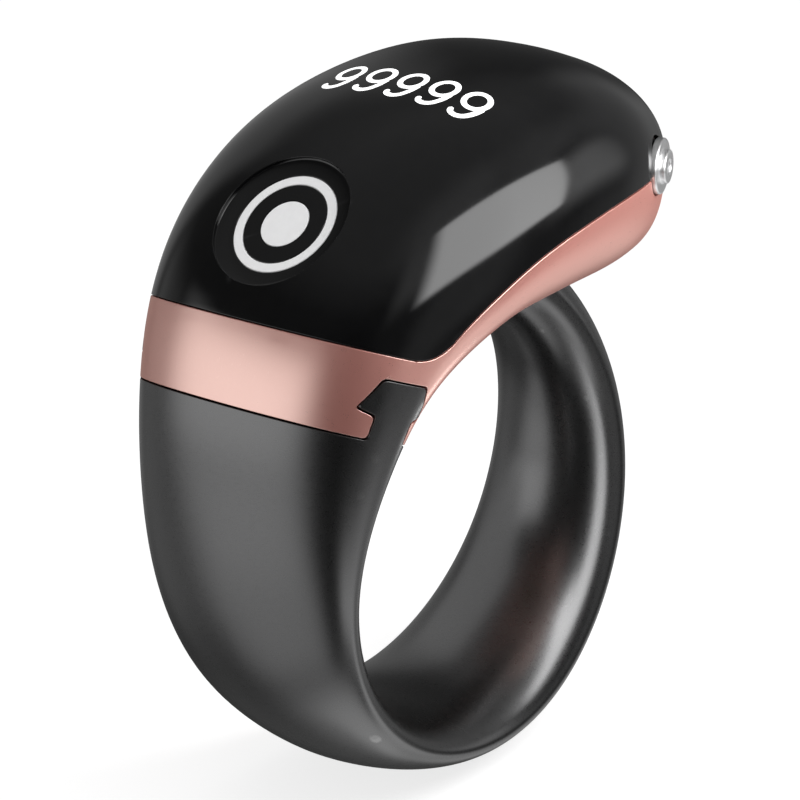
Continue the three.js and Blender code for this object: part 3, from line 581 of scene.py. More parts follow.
def band_outline(grow):
    """Everything below the joint and below the seat, with the barbed tongue and the ridge."""
    neck, barb, top = (w / 2 + grow for w in (NECK_WIDTH, BARB_WIDTH, TONGUE_TOP_WIDTH))
    edge = BAND_EDGE_HEIGHT + grow
    low, high = BARB_HEIGHT - grow, TONGUE_TOP_HEIGHT + grow
    tongue = [
        (edge, -neck), (low, -neck), (low + BARB_SLOPE, -barb), (high, -top),
        (high, top), (low + BARB_SLOPE, barb), (low, neck), (edge, neck),
    ]
    joint = [joint_point(edge, 0), *[joint_point(height, TONGUE_DEPTH + across) for height, across in tongue],
             joint_point(edge, CUT_LENGTH / 2)]
    seat = SEAT_HEIGHT + grow
    shoulder = bezier(
        (BAND_SHOULDER_REACH + 1.7 * BAND_SHOULDER + grow, seat - BAND_SHOULDER),
        (BAND_SHOULDER_REACH + BAND_SHOULDER + grow, seat),
        (BAND_SHOULDER_REACH, seat),
        16,
    )
    near, far = RIDGE_REACH - RIDGE_WIDTH / 2 - grow, RIDGE_REACH + RIDGE_WIDTH / 2 + grow
    return [
        (CUT_LENGTH / 2, 0),
        *shoulder,
        (far, seat), (far, seat + RIDGE_HEIGHT), (near, seat + RIDGE_HEIGHT), (near, seat),
        (BAND_BUTT_REACH - grow, seat),
        (BAND_BUTT_REACH - grow, 0),
        *rounded_chain(joint, TONGUE_ROUNDING),
        (-CUT_LENGTH / 2, -CUT_LENGTH / 2),
        (CUT_LENGTH / 2, -CUT_LENGTH / 2),
    ]


# ---------------------------------------------------------------- node helpers

class Nodes:
    """Short names for adding nodes and links to a node tree."""

    def __init__(self, tree):
        self.tree = tree

    def node(self, kind, inputs=None, **settings):
        made = self.tree.nodes.new(kind)
        for key, value in settings.items():
            setattr(made, key, value)
        return self.feed(made, inputs or {})

    def feed(self, made, inputs):
        """Links the inputs that are given a socket, and sets the others."""
        for key, value in inputs.items():
            if isinstance(value, bpy.types.NodeSocket):
                self.tree.links.new(value, made.inputs[key])
            else:
                made.inputs[key].default_value = value
        return made

    def math(self, operation, a, b=0.0, clamp=False):
        made = self.node("ShaderNodeMath", {0: a, 1: b}, operation=operation, use_clamp=clamp)
        return made.outputs[0]

    def times(self, a, b):
        return self.math("MULTIPLY", a, b)

    def plus(self, a, b):
        return self.math("ADD", a, b)

    def vector(self, operation, *values):
        return self.node("ShaderNodeVectorMath", dict(enumerate(values)), operation=operation).outputs[0]

    def blend(self, factor, a, b):
        mix = self.node("ShaderNodeMix", {0: factor, 6: a, 7: b}, data_type="RGBA")
        return mix.outputs[2]

    def span(self, value, low, high, to_low=0.0, to_high=1.0):
        inputs = {0: value, 1: low, 2: high, 3: to_low, 4: to_high}
        return self.node("ShaderNodeMapRange", inputs, clamp=True).outputs[0]

    def noise(self, place, scale, **more):
        return self.node("ShaderNodeTexNoise", {"Vector": place, "Scale": scale, **more}).outputs[0]

    def bump(self, strength, distance, height, **more):
        inputs = {"Strength": strength, "Distance": distance, "Height": height, **more}
        return self.node("ShaderNodeBump", inputs).outputs[0]

    def effect(self, group, *values):
        """The outputs of a shared effect, its inputs given in order."""
        return self.node("ShaderNodeGroup", dict(enumerate(values)), node_tree=group).outputs


def new_group(name, kind, inputs, outputs):
    """A node group with its sockets; gives the tree's helper, the inputs and the output node."""
    tree = bpy.data.node_groups.new(name, kind)
    for label, socket, value in inputs:
        made = tree.interface.new_socket(label, in_out="INPUT", socket_type="NodeSocket" + socket)
        if value is not None:
            made.default_value = value
    for label, socket in outputs:
        tree.interface.new_socket(label, in_out="OUTPUT", socket_type="NodeSocket" + socket)
    nodes = Nodes(tree)
    given = nodes.node("NodeGroupInput").outputs[:len(inputs)]
    return nodes, given, nodes.node("NodeGroupOutput")


# ---------------------------------------------------------------- shared effects

GRAIN_OUTPUTS = [("Value", "Float"), ("Normal", "Vector")]


def make_grain_group():
    """Fine grain: a value for colour and roughness, and a normal for the surface."""
    sockets = [("Vector", "Vector", None), ("Scale", "Float", 10.0), ("Bump", "Float", 0.1)]
    n, (place, scale, bump), out = new_group("grain", "ShaderNodeTree", sockets, GRAIN_OUTPUTS)
    fine = n.noise(place, scale, Detail=3.0, Roughness=0.6)
    wide = n.noise(place, n.times(scale, 0.13), Detail=2.0)
    both = n.plus(n.times(fine, 0.6), n.times(wide, 0.4))
    n.feed(out, {0: n.span(both, 0.3, 0.7), 1: n.bump(bump, 0.00002, fine)})
    return n.tree


def make_brush_group():
    """Grain drawn out along one direction, as on satin metal."""
    sockets = [("Vector", "Vector", None), ("Stretch", "Vector", (1.0, 1.0, 1.0)), ("Bump", "Float", 0.1)]
    n, (place, stretch, bump), out = new_group("brushed", "ShaderNodeTree", sockets, GRAIN_OUTPUTS)
    lines = n.noise(n.vector("MULTIPLY", place, stretch), 1.0, Detail=4.0, Roughness=0.65)
    n.feed(out, {0: n.span(lines, 0.32, 0.68), 1: n.bump(bump, 0.00001, lines)})
    return n.tree


def make_wear_group():
    """A mask of worn edges and of sparse hairline scratches."""
    sockets = [("Vector", "Vector", None), ("Edge", "Float", 1.0), ("Scratches", "Float", 0.3)]
    outputs = [("Edge", "Float"), ("Scratch", "Float")]
    n, (place, worn, scratched), out = new_group("wear", "ShaderNodeTree", sockets, outputs)
    pointed = n.node("ShaderNodeNewGeometry").outputs["Pointiness"]
    patches = n.noise(place, 0.9, Detail=3.0)
    edge = n.times(n.span(pointed, 0.6, 0.72), n.span(patches, 0.3, 0.6))
    turning = {0: place, "Rotation": (0.5, 0.3, 0.7), "Scale": (0.35, 9.0, 9.0)}
    hair = n.noise(n.node("ShaderNodeMapping", turning).outputs[0], 1.6, Detail=1.0, Distortion=0.4)
    thin = n.span(n.math("ABSOLUTE", n.math("SUBTRACT", hair, 0.5)), 0.0, 0.012, 1.0, 0.0)
    rare = n.span(patches, 0.52, 0.62)
    n.feed(out, {0: n.times(edge, worn), 1: n.times(n.times(thin, rare), scratched)})
    return n.tree


GRAIN = make_grain_group()
BRUSH = make_brush_group()
WEAR = make_wear_group()


def pattern(n, kind, place, scale):
    """A value from 0 to 1 over the surface, for a kind of material."""
    inputs = {"Vector": place, "Scale": scale}

    def wave(way):
        return n.node("ShaderNodeTexWave", inputs, bands_direction=way).outputs[1]

    if kind == "weave":
        return n.times(wave("X"), wave("Y"))
    if kind == "traces":
        return n.span(wave("Y"), 0.35, 0.5)
    if kind == "cells":
        return n.node("ShaderNodeTexVoronoi", inputs).outputs[0]
    detail = {"Detail": 3.0, "Distortion": 1.4} if kind == "crinkle" else {"Detail": 4.0}
    return n.span(n.noise(place, scale, **detail), 0.3, 0.7)


def millimetres(n):
    """The object's own coordinates, in millimetres."""
    place = n.node("ShaderNodeTexCoord").outputs["Object"]
    return n.node("ShaderNodeVectorMath", {0: place, "Scale": 1 / MM}, operation="SCALE").outputs[0]


def rgba(colour):
    return (*colour, 1.0)


def blank_nodes(owner):
    """The emptied node tree of a material or a world."""
    owner.use_nodes = True
    owner.node_tree.nodes.clear()
    return Nodes(owner.node_tree)


def new_material(name):
    material = bpy.data.materials.new(name)
    return material, blank_nodes(material)


def start_material(name):
    material, n = new_material(name)
    shader = n.node("ShaderNodeBsdfPrincipled")
    n.node("ShaderNodeOutputMaterial", {0: shader.outputs[0]})
    return material, n, shader


def plain_material(name, low, high, kind, scale, rough, metallic=0.0, bump=0.15):
    """A finish of two close colours over a pattern, with grain in its gloss and worn edges."""
    material, n, shader = start_material(name)
    place = millimetres(n)
    value = pattern(n, kind, place, scale)
    grain, relief = n.effect(GRAIN, place, 14.0, bump)
    edge, _ = n.effect(WEAR, place)
    n.feed(shader, {
        "Base Color": n.blend(edge, n.blend(value, rgba(low), rgba(high)), rgba(high)),
        "Roughness": n.span(grain, 0.0, 1.0, *rough),
        "Metallic": metallic,
        "Normal": n.bump(bump, 0.00003, value, Normal=relief),
    })
    return material


def cover_material():
    """Glossy black moulded cover: deep black, faint moulding waves in the gloss, hairline marks."""
    material, n, shader = start_material("gloss_black")
    place = millimetres(n)
    edge, scratch = n.effect(WEAR, place, 1.0, 0.35)
    waves, _ = n.effect(GRAIN, place, 1.2, 0.0)
    tone = n.blend(waves, rgba((0.0022, 0.0022, 0.0024)), rgba((0.0034, 0.0034, 0.0036)))
    n.feed(shader, {
        "Base Color": n.blend(edge, tone, rgba((0.012, 0.012, 0.0125))),
        "Roughness": n.plus(n.span(waves, 0.0, 1.0, 0.085, 0.115), n.times(scratch, 0.25)),
        "IOR": 1.5,
    })
    return material


def satin_metal(name, low, high, worn, rough, metallic, stretch, bump, ior=1.5, tint=(1.0, 1.0, 1.0)):
    """Satin anodised metal: drawn-out grain, cloudy colour, polished edges."""
    material, n, shader = start_material(name)
    place = millimetres(n)
    lines, line_relief = n.effect(BRUSH, place, stretch, bump)
    edge, _ = n.effect(WEAR, place, 0.8)
    grain, grain_relief = n.effect(GRAIN, place, 22.0, bump * 0.6)
    cloud = n.plus(n.times(lines, 0.5), n.times(grain, 0.5))
    n.feed(shader, {
        "Base Color": n.blend(edge, n.blend(cloud, rgba(low), rgba(high)), rgba(worn)),
        "Roughness": n.math("SUBTRACT", n.span(cloud, 0.0, 1.0, *rough), n.times(edge, 0.08)),
        "Metallic": metallic,
        "IOR": ior,
        "Specular Tint": rgba(tint),
        "Normal": n.vector("NORMALIZE", n.vector("ADD", line_relief, grain_relief)),
    })
    return material


def lit_material(name, colour, glow, rough, scale, grid):
    """White lettering or marks: lit from behind, with a faint grid of the diffuser behind them."""
    material, n, shader = start_material(name)
    place = millimetres(n)
    value = pattern(n, "weave", place, grid)
    cloud = pattern(n, "cloud", place, scale)
    shade = n.plus(n.times(value, 0.4), n.times(cloud, 0.6))
    n.feed(shader, {
        "Base Color": n.blend(shade, rgba([c * 0.94 for c in colour]), rgba(colour)),
        "Emission Color": n.blend(shade, rgba((0.95, 0.95, 0.95)), rgba((1, 1, 1))),
        "Emission Strength": glow,
        "Roughness": n.span(cloud, 0, 1, rough, rough + 0.06),
    })
    return material


def shiny_metal(name, low, high, rough, scratches):
    """Polished or plated metal with hairlines and slightly uneven gloss."""
    material, n, shader = start_material(name)
    place = millimetres(n)
    _, scratch = n.effect(WEAR, place, 1.0, scratches)
    grain, relief = n.effect(GRAIN, place, 9.0, 0.04)
    n.feed(shader, {
        "Base Color": n.blend(grain, rgba(low), rgba(high)),
        "Roughness": n.plus(n.span(grain, 0.0, 1.0, *rough), n.times(scratch, 0.3)),
        "Metallic": 1.0,
        "Normal": relief,
    })
    return material


GLOSS = cover_material()
ROSE = satin_metal("rose_gold", (0.62, 0.2, 0.165), (0.68, 0.23, 0.19), (0.8, 0.43, 0.37),
                   (0.26, 0.34), 0.15, (2.0, 26.0, 26.0), 0.05, ior=8.0, tint=(1.0, 0.82, 0.74))
BLACK = satin_metal("satin_black", (0.13, 0.13, 0.131), (0.155, 0.155, 0.156), (0.24, 0.24, 0.24),
                    (0.25, 0.32), 1.0, (22.0, 1.6, 22.0), 0.04)
DIGIT = lit_material("lit_digits", (0.9, 0.9, 0.9), 0.75, 0.35, 2.0, 9.0)
MARK = lit_material("white_marks", (0.78, 0.78, 0.785), 0.12, 0.4, 3.0, 7.0)
SILVER = shiny_metal("polished_silver", (0.78, 0.78, 0.785), (0.87, 0.87, 0.875), (0.32, 0.4), 0.3)
GOLD = shiny_metal("gold_plate", (0.72, 0.55, 0.25), (0.82, 0.66, 0.33), (0.14, 0.24), 0.3)
STEEL = shiny_metal("plain_steel", (0.5, 0.51, 0.52), (0.62, 0.63, 0.64), (0.25, 0.38), 0.5)
BRASS = shiny_metal("plain_brass", (0.52, 0.38, 0.16), (0.64, 0.49, 0.24), (0.25, 0.36), 0.4)
RUBBER = plain_material("seal_rubber", (0.008, 0.008, 0.008), (0.014, 0.014, 0.014), "cloud", 3, (0.7, 0.85))
BOARD = plain_material("green_laminate", (0.006, 0.07, 0.028), (0.012, 0.11, 0.045), "weave", 3.2,
                       (0.35, 0.5))
CHIP = plain_material("moulded_chip", (0.010, 0.010, 0.011), (0.018, 0.018, 0.02), "cloud", 6, (0.45, 0.6))
PLASTIC = plain_material("dark_plastic", (0.02, 0.02, 0.021), (0.032, 0.032, 0.033), "cloud", 5, (0.45, 0.6))
PANEL = plain_material("display_face", (0.003, 0.004, 0.006), (0.006, 0.007, 0.01), "weave", 6, (0.06, 0.1),
                       bump=0.01)
FOAM = plain_material("foam", (0.03, 0.03, 0.032), (0.07, 0.07, 0.072), "cells", 7, (0.85, 0.95), bump=0.5)
FLEX = plain_material("flex_film", (0.26, 0.1, 0.015), (0.42, 0.17, 0.035), "traces", 2.4, (0.3, 0.42))
POUCH = plain_material("pouch_foil", (0.42, 0.43, 0.44), (0.62, 0.63, 0.64), "crinkle", 1.2,
                       (0.28, 0.4), metallic=0.8, bump=0.3)
CERAMIC = plain_material("ceramic", (0.62, 0.6, 0.56), (0.74, 0.73, 0.7), "cloud", 5, (0.4, 0.5))

NODE_FINISH = {
    "touch_board": BOARD, "touch_electrode": BRASS, "key_led": MARK, "button_o_ring": RUBBER,
    "button_clip": STEEL, "switch_body": PLASTIC, "switch_plunger": CERAMIC, "switch_board": BOARD,
    "display_panel": PANEL, "display_foam": FOAM, "carrier": PLASTIC, "carrier_screw_front": STEEL,
    "carrier_screw_rear": STEEL, "main_board": BOARD, "microcontroller": CHIP, "clock_crystal": STEEL,
    "chip_antenna": CERAMIC, "board_connector": CHIP, "battery_tape": FOAM, "battery": POUCH,
    "motor_can": STEEL, "motor_base": PLASTIC, "motor_shaft": STEEL, "motor_rotor": BRASS,
    "charge_flex": FLEX, "display_flex": FLEX, "touch_flex": FLEX,
}
for node, finish in NODE_FINISH.items():
    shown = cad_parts[node]
    shown.data.materials.clear()
    shown.data.materials.append(finish)


# ---------------------------------------------------------------- the head

cavity = head_body("cavity", WALL, 130, CAVITY_SIDES, CAVITY_STEP)
guide = turned("guide", [(0, -BUTTON_BLOCK_DEPTH), (BUTTON_BLOCK_RADIUS, -BUTTON_BLOCK_DEPTH),
                         (BUTTON_BLOCK_RADIUS, WALL), (0, WALL)], SMALL_SIDES, BUTTON_FRAME)
combine(cavity, guide, "DIFFERENCE")

recess_floor = FLANGE_PROUD - FLANGE_THICKNESS - BUTTON_TRAVEL - RECESS_SLACK
recess = turned("recess", [
    (0, -BUTTON_BLOCK_DEPTH - WALL),
    (STEM_RADIUS + BORE_SLACK, -BUTTON_BLOCK_DEPTH - WALL),
    (STEM_RADIUS + BORE_SLACK, recess_floor),
    (FLANGE_RADIUS + RECESS_SLACK, recess_floor),
    (FLANGE_RADIUS + RECESS_SLACK, WALL),
    (0, WALL),
], BUTTON_SIDES, BUTTON_FRAME)

head = head_body("head", 0.0, 165, HEAD_SIDES, HEAD_STEP)


def make_cover():
    cover = copy_of(head, "top_cover")
    combine(cover, side_prism("cover_zone", cover_outline(0)), "INTERSECT")
    combine(cover, cavity, "DIFFERENCE", keep=True)
    combine(cover, recess, "DIFFERENCE", keep=True)
    dish = turned("dish", [
        (0, -DISH_DEPTH),
        *[(DISH_RADIUS * out, -DISH_RIM_DEPTH - fall * (DISH_DEPTH - DISH_RIM_DEPTH))
          for out, fall in ((0.76, 1), (0.84, 0.94), (0.92, 0.7), (0.97, 0.36), (1, 0))],
        (DISH_RADIUS, DISH_RADIUS),
        (0, DISH_RADIUS),
    ], KEY_SIDES, KEY_FRAME)
    combine(cover, dish, "DIFFERENCE")
    for low, high in ((RING_INNER - MARK_SLACK, RING_OUTER + MARK_SLACK), (0, DOT_RADIUS + MARK_SLACK)):
        floor = -DISH_DEPTH - MARK_DEPTH - MARK_SLACK
        hole = turned("hole", [(low, floor), (high, floor), (high, 0), (low, 0)], KEY_SIDES, KEY_FRAME)
        combine(cover, hole, "DIFFERENCE")
    tidy_cut(cover)
    round_edges(cover, EDGE_ROUND)
    return finish_piece(cover, GLOSS, "head", ["cover"])


def make_housing():
    housing = copy_of(head, "rose_housing")
    combine(housing, side_prism("cover_zone", cover_outline(SEAM_GAP)), "DIFFERENCE")
    combine(housing, cavity, "DIFFERENCE", keep=True)
    combine(housing, recess, "DIFFERENCE", keep=True)
    saddle = loft("saddle", section_points(SADDLE_TURNS, phases_of(HEAD_SIDES)))
    zone = box_solid("zone", (-1, -CUT_LENGTH / 2, SEAT_LOW), (BAND_SHOULDER_REACH, CUT_LENGTH / 2, SEAT_TOP))
    combine(saddle, zone, "INTERSECT")
    combine(housing, saddle, "UNION")
    combine(housing, side_prism("band_zone", band_outline(BAND_SLACK)), "DIFFERENCE")
    half = CHARGE_PAD_WIDTH / 2 + MARK_SLACK, CHARGE_PAD_LENGTH / 2 + MARK_SLACK
    window = box_solid("window", (-half[0], -half[1], -1), (half[0], half[1], WALL + 1), CHARGE_FRAME)
    combine(housing, window, "DIFFERENCE")
    tidy_cut(housing)
    round_edges(housing, EDGE_ROUND)
    return finish_piece(housing, ROSE, "head", ["housing"])


make_cover()
make_housing()
for tool in (cavity, recess, head):
    drop(tool)


# ---------------------------------------------------------------- the band

def make_band_nodes():
    """Places the points of a grid on the ring's sections, by their turn and phase."""
    names = ("turn", "phase", "waist", "crown", "half", "shoulder", "belly")
    sockets = [("Geometry", "Geometry", None), ("Hole Radius", "Float", HOLE), ("Tip", "Float", TIP),
               ("Finish", "Material", None)]
    n, (grid, hole, tip, finish), out = new_group(
        "band_sections", "GeometryNodeTree", sockets, [("Geometry", "Geometry")])
    turn, phase, waist, crown, half, shoulder, belly = [
        n.node("GeometryNodeInputNamedAttribute", {"Name": name}, data_type="FLOAT").outputs[0]
        for name in names
    ]
    up, side = n.math("COSINE", phase), n.math("SINE", phase)
    outer = n.math("GREATER_THAN", up, 0.0)
    power = n.plus(belly, n.times(outer, n.math("SUBTRACT", shoulder, belly)))
    least = n.times(tip, tip)
    terms = [
        n.math("POWER", n.math("SQRT", n.plus(n.times(part, part), least)), power) for part in (up, side)
    ]
    size = n.math("POWER", n.plus(*terms), n.math("DIVIDE", -1.0, power))
    height = n.plus(waist, n.times(outer, n.math("SUBTRACT", crown, n.times(waist, 2.0))))
    radius = n.plus(n.plus(hole, waist), n.times(n.times(up, size), height))
    place = n.node("ShaderNodeCombineXYZ", {
        0: n.times(radius, n.math("COSINE", turn)),
        1: n.times(n.times(side, size), half),
        2: n.times(radius, n.math("SINE", turn)),
    })
    moved = n.node("GeometryNodeSetPosition", {"Geometry": grid, "Position": place.outputs[0]})
    real = n.node("GeometryNodeRealizeInstances", {0: moved.outputs[0]})
    coated = n.node("GeometryNodeSetMaterial", {"Geometry": real.outputs[0], "Material": finish})
    n.feed(out, {0: coated.outputs[0]})
    return n.tree


def make_band():
    phases = phases_of(BAND_SIDES)
    angles, out = np.radians(BAND_TURNS), HOLE + 2 + np.cos(phases)
    rough = [np.outer(np.cos(angles), out), np.outer(np.ones(len(angles)), np.sin(phases)),
             np.outer(np.sin(angles), out)]
    band = loft("finger_band", np.stack(rough, -1))
    rows = {
        "turn": angles, "waist": waist_at(BAND_TURNS), "crown": crown_at(BAND_TURNS),
        "half": half_at(BAND_TURNS), "shoulder": shoulder_at(BAND_TURNS), "belly": belly_at(BAND_TURNS),
    }
    values = {name: np.repeat(row, len(phases)) for name, row in rows.items()}
    values["phase"] = np.tile(phases, len(angles))
    for name, value in values.items():
        made = band.data.attributes.new(name, "FLOAT", "POINT")
        made.data.foreach_set("value", value.astype(np.float32))
    tree = make_band_nodes()
    form = band.modifiers.new("sections", "NODES")
    form.node_group = tree
    sockets = {item.name: item.identifier for item in tree.interface.items_tree if item.in_out == "INPUT"}
    form[sockets["Hole Radius"]] = HOLE
    form[sockets["Tip"]] = TIP
    form[sockets["Finish"]] = BLACK
    freeze(band)
    for name in values:
        band.data.attributes.remove(band.data.attributes[name])
    combine(band, side_prism("band_zone", band_outline(0)), "INTERSECT")
    tidy_cut(band)
    round_edges(band, EDGE_ROUND)
    return finish_piece(band, BLACK, "band", ["band"])


make_band()


# ---------------------------------------------------------------- touch key, button and contacts

def key_mark(name, inner, outer, node):
    """A ring or a dot in the floor of the dish, its upper edges chamfered."""
    top, floor = -DISH_DEPTH, -DISH_DEPTH - MARK_DEPTH
    chamfer = ((MARK_EDGE, 0), (MARK_EDGE * 0.3, MARK_EDGE * 0.3), (0, MARK_EDGE))
    profile = [(outer - across, top - down) for across, down in chamfer] + [(outer, floor)]
    if inner > 0:
        profile += [(inner, floor), *[(inner + across, top - down) for across, down in chamfer[::-1]]]
    else:
        profile = [(0, top), *profile, (0, floor)]
    finish_piece(turned(name, profile, KEY_SIDES, KEY_FRAME), MARK, "head", [node])


key_mark("key_ring", RING_INNER, RING_OUTER, "key_ring_mark")
key_mark("key_dot", 0, DOT_RADIUS, "key_dot_mark")


def arc(centre, radius, start, end, steps):
    angles = np.radians(np.linspace(start, end, steps + 1))
    return [(centre[0] + radius * math.cos(a), centre[1] + radius * math.sin(a)) for a in angles]


def make_button():
    front, back = FLANGE_PROUD, FLANGE_PROUD - FLANGE_THICKNESS
    top = front + BOSS_HEIGHT
    end = back - STEM_LENGTH
    profile = [
        (0, end), (STEM_RADIUS - STEM_EDGE, end), (STEM_RADIUS, end + STEM_EDGE), (STEM_RADIUS, back),
        (FLANGE_RADIUS - FLANGE_BACK_EDGE, back), (FLANGE_RADIUS, back + FLANGE_BACK_EDGE),
        *arc((FLANGE_RADIUS - BUTTON_EDGE, front - BUTTON_EDGE), BUTTON_EDGE, 0, 90, 5),
        *arc((BOSS_RADIUS + BOSS_FILLET, front + BOSS_FILLET), BOSS_FILLET, 270, 180, 4),
        *arc((BOSS_RADIUS - BUTTON_EDGE, top - BUTTON_EDGE), BUTTON_EDGE, 0, 90, 5),
        *arc((DIMPLE_RADIUS, top - DIMPLE_EDGE), DIMPLE_EDGE, 90, 180, 4),
        (DIMPLE_RADIUS - 0.12, top - DIMPLE_DEPTH * 0.9),
        (DIMPLE_RADIUS - 0.2, top - DIMPLE_DEPTH),
        (0, top - DIMPLE_DEPTH),
    ]
    cap = turned("side_button", profile, BUTTON_SIDES, BUTTON_FRAME)
    return finish_piece(cap, SILVER, "button", ["button_cap"], smooth=60)


make_button()


def make_contacts():
    half = CHARGE_PAD_WIDTH / 2, CHARGE_PAD_LENGTH / 2
    top, step = CHARGE_FACE + CHARGE_PAD_THICKNESS, CHARGE_FACE + PIN_HEAD_THICKNESS
    pad = box_solid("contact_pad", (-half[0], -half[1], CHARGE_FACE), (*half, top), CHARGE_FRAME)
    for name, y in (("front", -PIN_SPACING / 2), ("rear", PIN_SPACING / 2)):
        place = CHARGE_FRAME @ Matrix.Translation((0, y, 0))
        hole = turned("pin_hole", [
            (0, CHARGE_FACE - 1), (PIN_HEAD_RADIUS + MARK_SLACK, CHARGE_FACE - 1),
            (PIN_HEAD_RADIUS + MARK_SLACK, step + MARK_SLACK), (PIN_RADIUS + MARK_SLACK, step + MARK_SLACK),
            (PIN_RADIUS + MARK_SLACK, top + 1), (0, top + 1),
        ], SMALL_SIDES, place)
        combine(pad, hole, "DIFFERENCE")
        pin = turned("contact_pin_" + name, [
            (0, CHARGE_FACE + 0.02), (PIN_HEAD_RADIUS - 0.12, CHARGE_FACE),
            *arc((PIN_HEAD_RADIUS - PIN_EDGE, CHARGE_FACE + PIN_EDGE), PIN_EDGE, 270, 360, 4),
            (PIN_HEAD_RADIUS, step), (PIN_RADIUS, step), (PIN_RADIUS, top + PIN_TAIL), (0, top + PIN_TAIL),
        ], SMALL_SIDES, place)
        finish_piece(pin, GOLD, "head", ["charge_pin_" + name])
    round_edges(pad, PAD_EDGE)
    return finish_piece(pad, PLASTIC, "head", ["charge_pad"])


make_contacts()


# ---------------------------------------------------------------- the lit digits

def nine_path():
    """The centre line of a nine, in millimetres across and up."""
    hook = [(0.2, 0.56), (0.26, 0.3), (0.47, 0.17), (0.76, 0.16), (1.08, 0.36), (1.32, 0.82), (1.42, 1.34)]
    angles = np.radians(np.linspace(-14, 346, 41))
    bowl = [(0.81 + 0.62 * math.cos(a), 1.72 + 0.69 * math.sin(a)) for a in angles]
    return np.array(hook), np.array(bowl)


def smooth_path(points, steps):
    """Points on a smooth curve through the given ones."""
    padded = np.vstack([2 * points[0] - points[1], points, 2 * points[-1] - points[-2]])
    curve = []
    for i in range(1, len(padded) - 2):
        a, b, c, d = padded[i - 1:i + 3]
        for t in np.linspace(0, 1, steps, endpoint=False):
            curve.append(0.5 * (2 * b + (c - a) * t + (2 * a - 5 * b + 4 * c - d) * t ** 2
                                + (3 * b - a - 3 * c + d) * t ** 3))
    return np.array(curve + [points[-1]])


def stroke(path, width, closed):
    """Left and right sides of a stroke along a path, with rounded ends where it is open."""
    if closed:
        ahead, behind = np.roll(path, -1, 0), np.roll(path, 1, 0)
    else:
        ahead = np.vstack([path[1:], 2 * path[-1] - path[-2]])
        behind = np.vstack([2 * path[0] - path[1], path[:-1]])
    along = ahead - behind
    along /= np.linalg.norm(along, axis=1)[:, None]
    over = np.stack([-along[:, 1], along[:, 0]], 1)
    widths = np.full(len(path), width / 2)
    if not closed:
        lengths = np.concatenate([[0], np.cumsum(np.linalg.norm(np.diff(path, axis=0), axis=1))])
        near = np.clip(lengths / (width / 2), 0, 1)
        widths *= np.sqrt(np.clip(1 - (1 - near) ** 2, 0.02, 1))
    return path + over * widths[:, None], path - over * widths[:, None]


def make_digit(number):
    """One lit nine: thin strokes that follow the cover's surface."""
    hook, bowl = nine_path()
    verts, faces = [], []
    for path, closed in ((smooth_path(hook, 9), False), (bowl[:-1], True)):
        left, right = stroke(path, DIGIT_STROKE, closed)
        rows, start = len(path), len(verts)
        for level in (DIGIT_PROUD, DIGIT_SUNK):
            for share in np.linspace(0, 1, DIGIT_LANES):
                lane = left + (right - left) * share
                place = surface_point(DIGIT_FOOT + DIGIT_SQUASH * lane[:, 1],
                                      DIGIT_START - number * DIGIT_PITCH - lane[:, 0])
                verts += list(place + np.array([0, 0, level]))
        upper, lower = range(DIGIT_LANES), range(DIGIT_LANES, 2 * DIGIT_LANES)
        rim = [start + k * rows for k in (*upper, *reversed(lower))]
        for r in range(rows if closed else rows - 1):
            q = (r + 1) % rows
            faces += [(a + r, b + r, b + q, a + q) for a, b in zip(rim, rim[1:] + rim[:1])]
        if not closed:
            faces += [tuple(rim), tuple(a + rows - 1 for a in reversed(rim))]
    digit = mesh_object(f"digit_{number + 1}", verts, faces)
    outwards(digit)
    return finish_piece(digit, DIGIT, "head")


for place in range(DIGITS):
    make_digit(place)


# ---------------------------------------------------------------- stage, lamps and camera

def light_path(n):
    """1 where a ray comes from the camera, from gloss or through glass."""
    path = n.node("ShaderNodeLightPath")
    seen = n.math("ADD", path.outputs["Is Camera Ray"], path.outputs["Is Glossy Ray"])
    return n.math("ADD", seen, path.outputs["Is Transmission Ray"], clamp=True)


def white_glow(n, strength):
    return n.node("ShaderNodeEmission", {"Color": rgba((1, 1, 1)), "Strength": strength}).outputs[0]


def floor_material():
    material, n = new_material("pale_floor")
    diffuse = n.node("ShaderNodeBsdfDiffuse", {"Color": rgba((0.36, 0.36, 0.36))})
    glow = white_glow(n, n.times(light_path(n), 0.76))
    both = n.node("ShaderNodeAddShader", {0: diffuse.outputs[0], 1: glow})
    n.node("ShaderNodeOutputMaterial", {0: both.outputs[0]})
    return material


# What the object's gloss sees round it: azimuth, height, half width, half height, softness across
# and up, all in degrees, and the level of grey. A later row covers the earlier ones.
GLOSS_CARDS = (
    (-90, 64, 45, 12, 56, 22, 0.45),
    (-118, 43, 11, 15, 14, 18, 0.5),
    (-40, 43, 22, 13, 26, 16, 0.34),
    (-33, 10, 8, 13, 12, 14, 0.95),
    (-3, 8, 23, 30, 16, 18, 0.28),
    (-76, -4, 24, 17, 24, 14, 0.26),
    (-156, -4, 20, 36, 14, 14, 0.02),
    (98, -14, 14, 26, 14, 20, 0.3),
    (62, 6, 17, 32, 12, 16, 0.3),
    (150, 3, 31, 15, 20, 8, 1.38),
    (154, -26, 30, 13, 24, 10, 1.02),
    (156, -46, 32, 12, 26, 12, 0.78),
    (-98, -36, 34, 7, 26, 10, 1.5),
    (-112, -50, 28, 5, 20, 8, 0.3),
    (-48, -54, 24, 21, 20, 16, 1.25),
    (-8, -46, 26, 23, 22, 16, 0.66),
    (70, -56, 34, 14, 30, 14, 0.13),
    (75, -72, 34, 6, 40, 10, 0.36),
    (44, -34, 14, 14, 14, 14, 0.05),
)


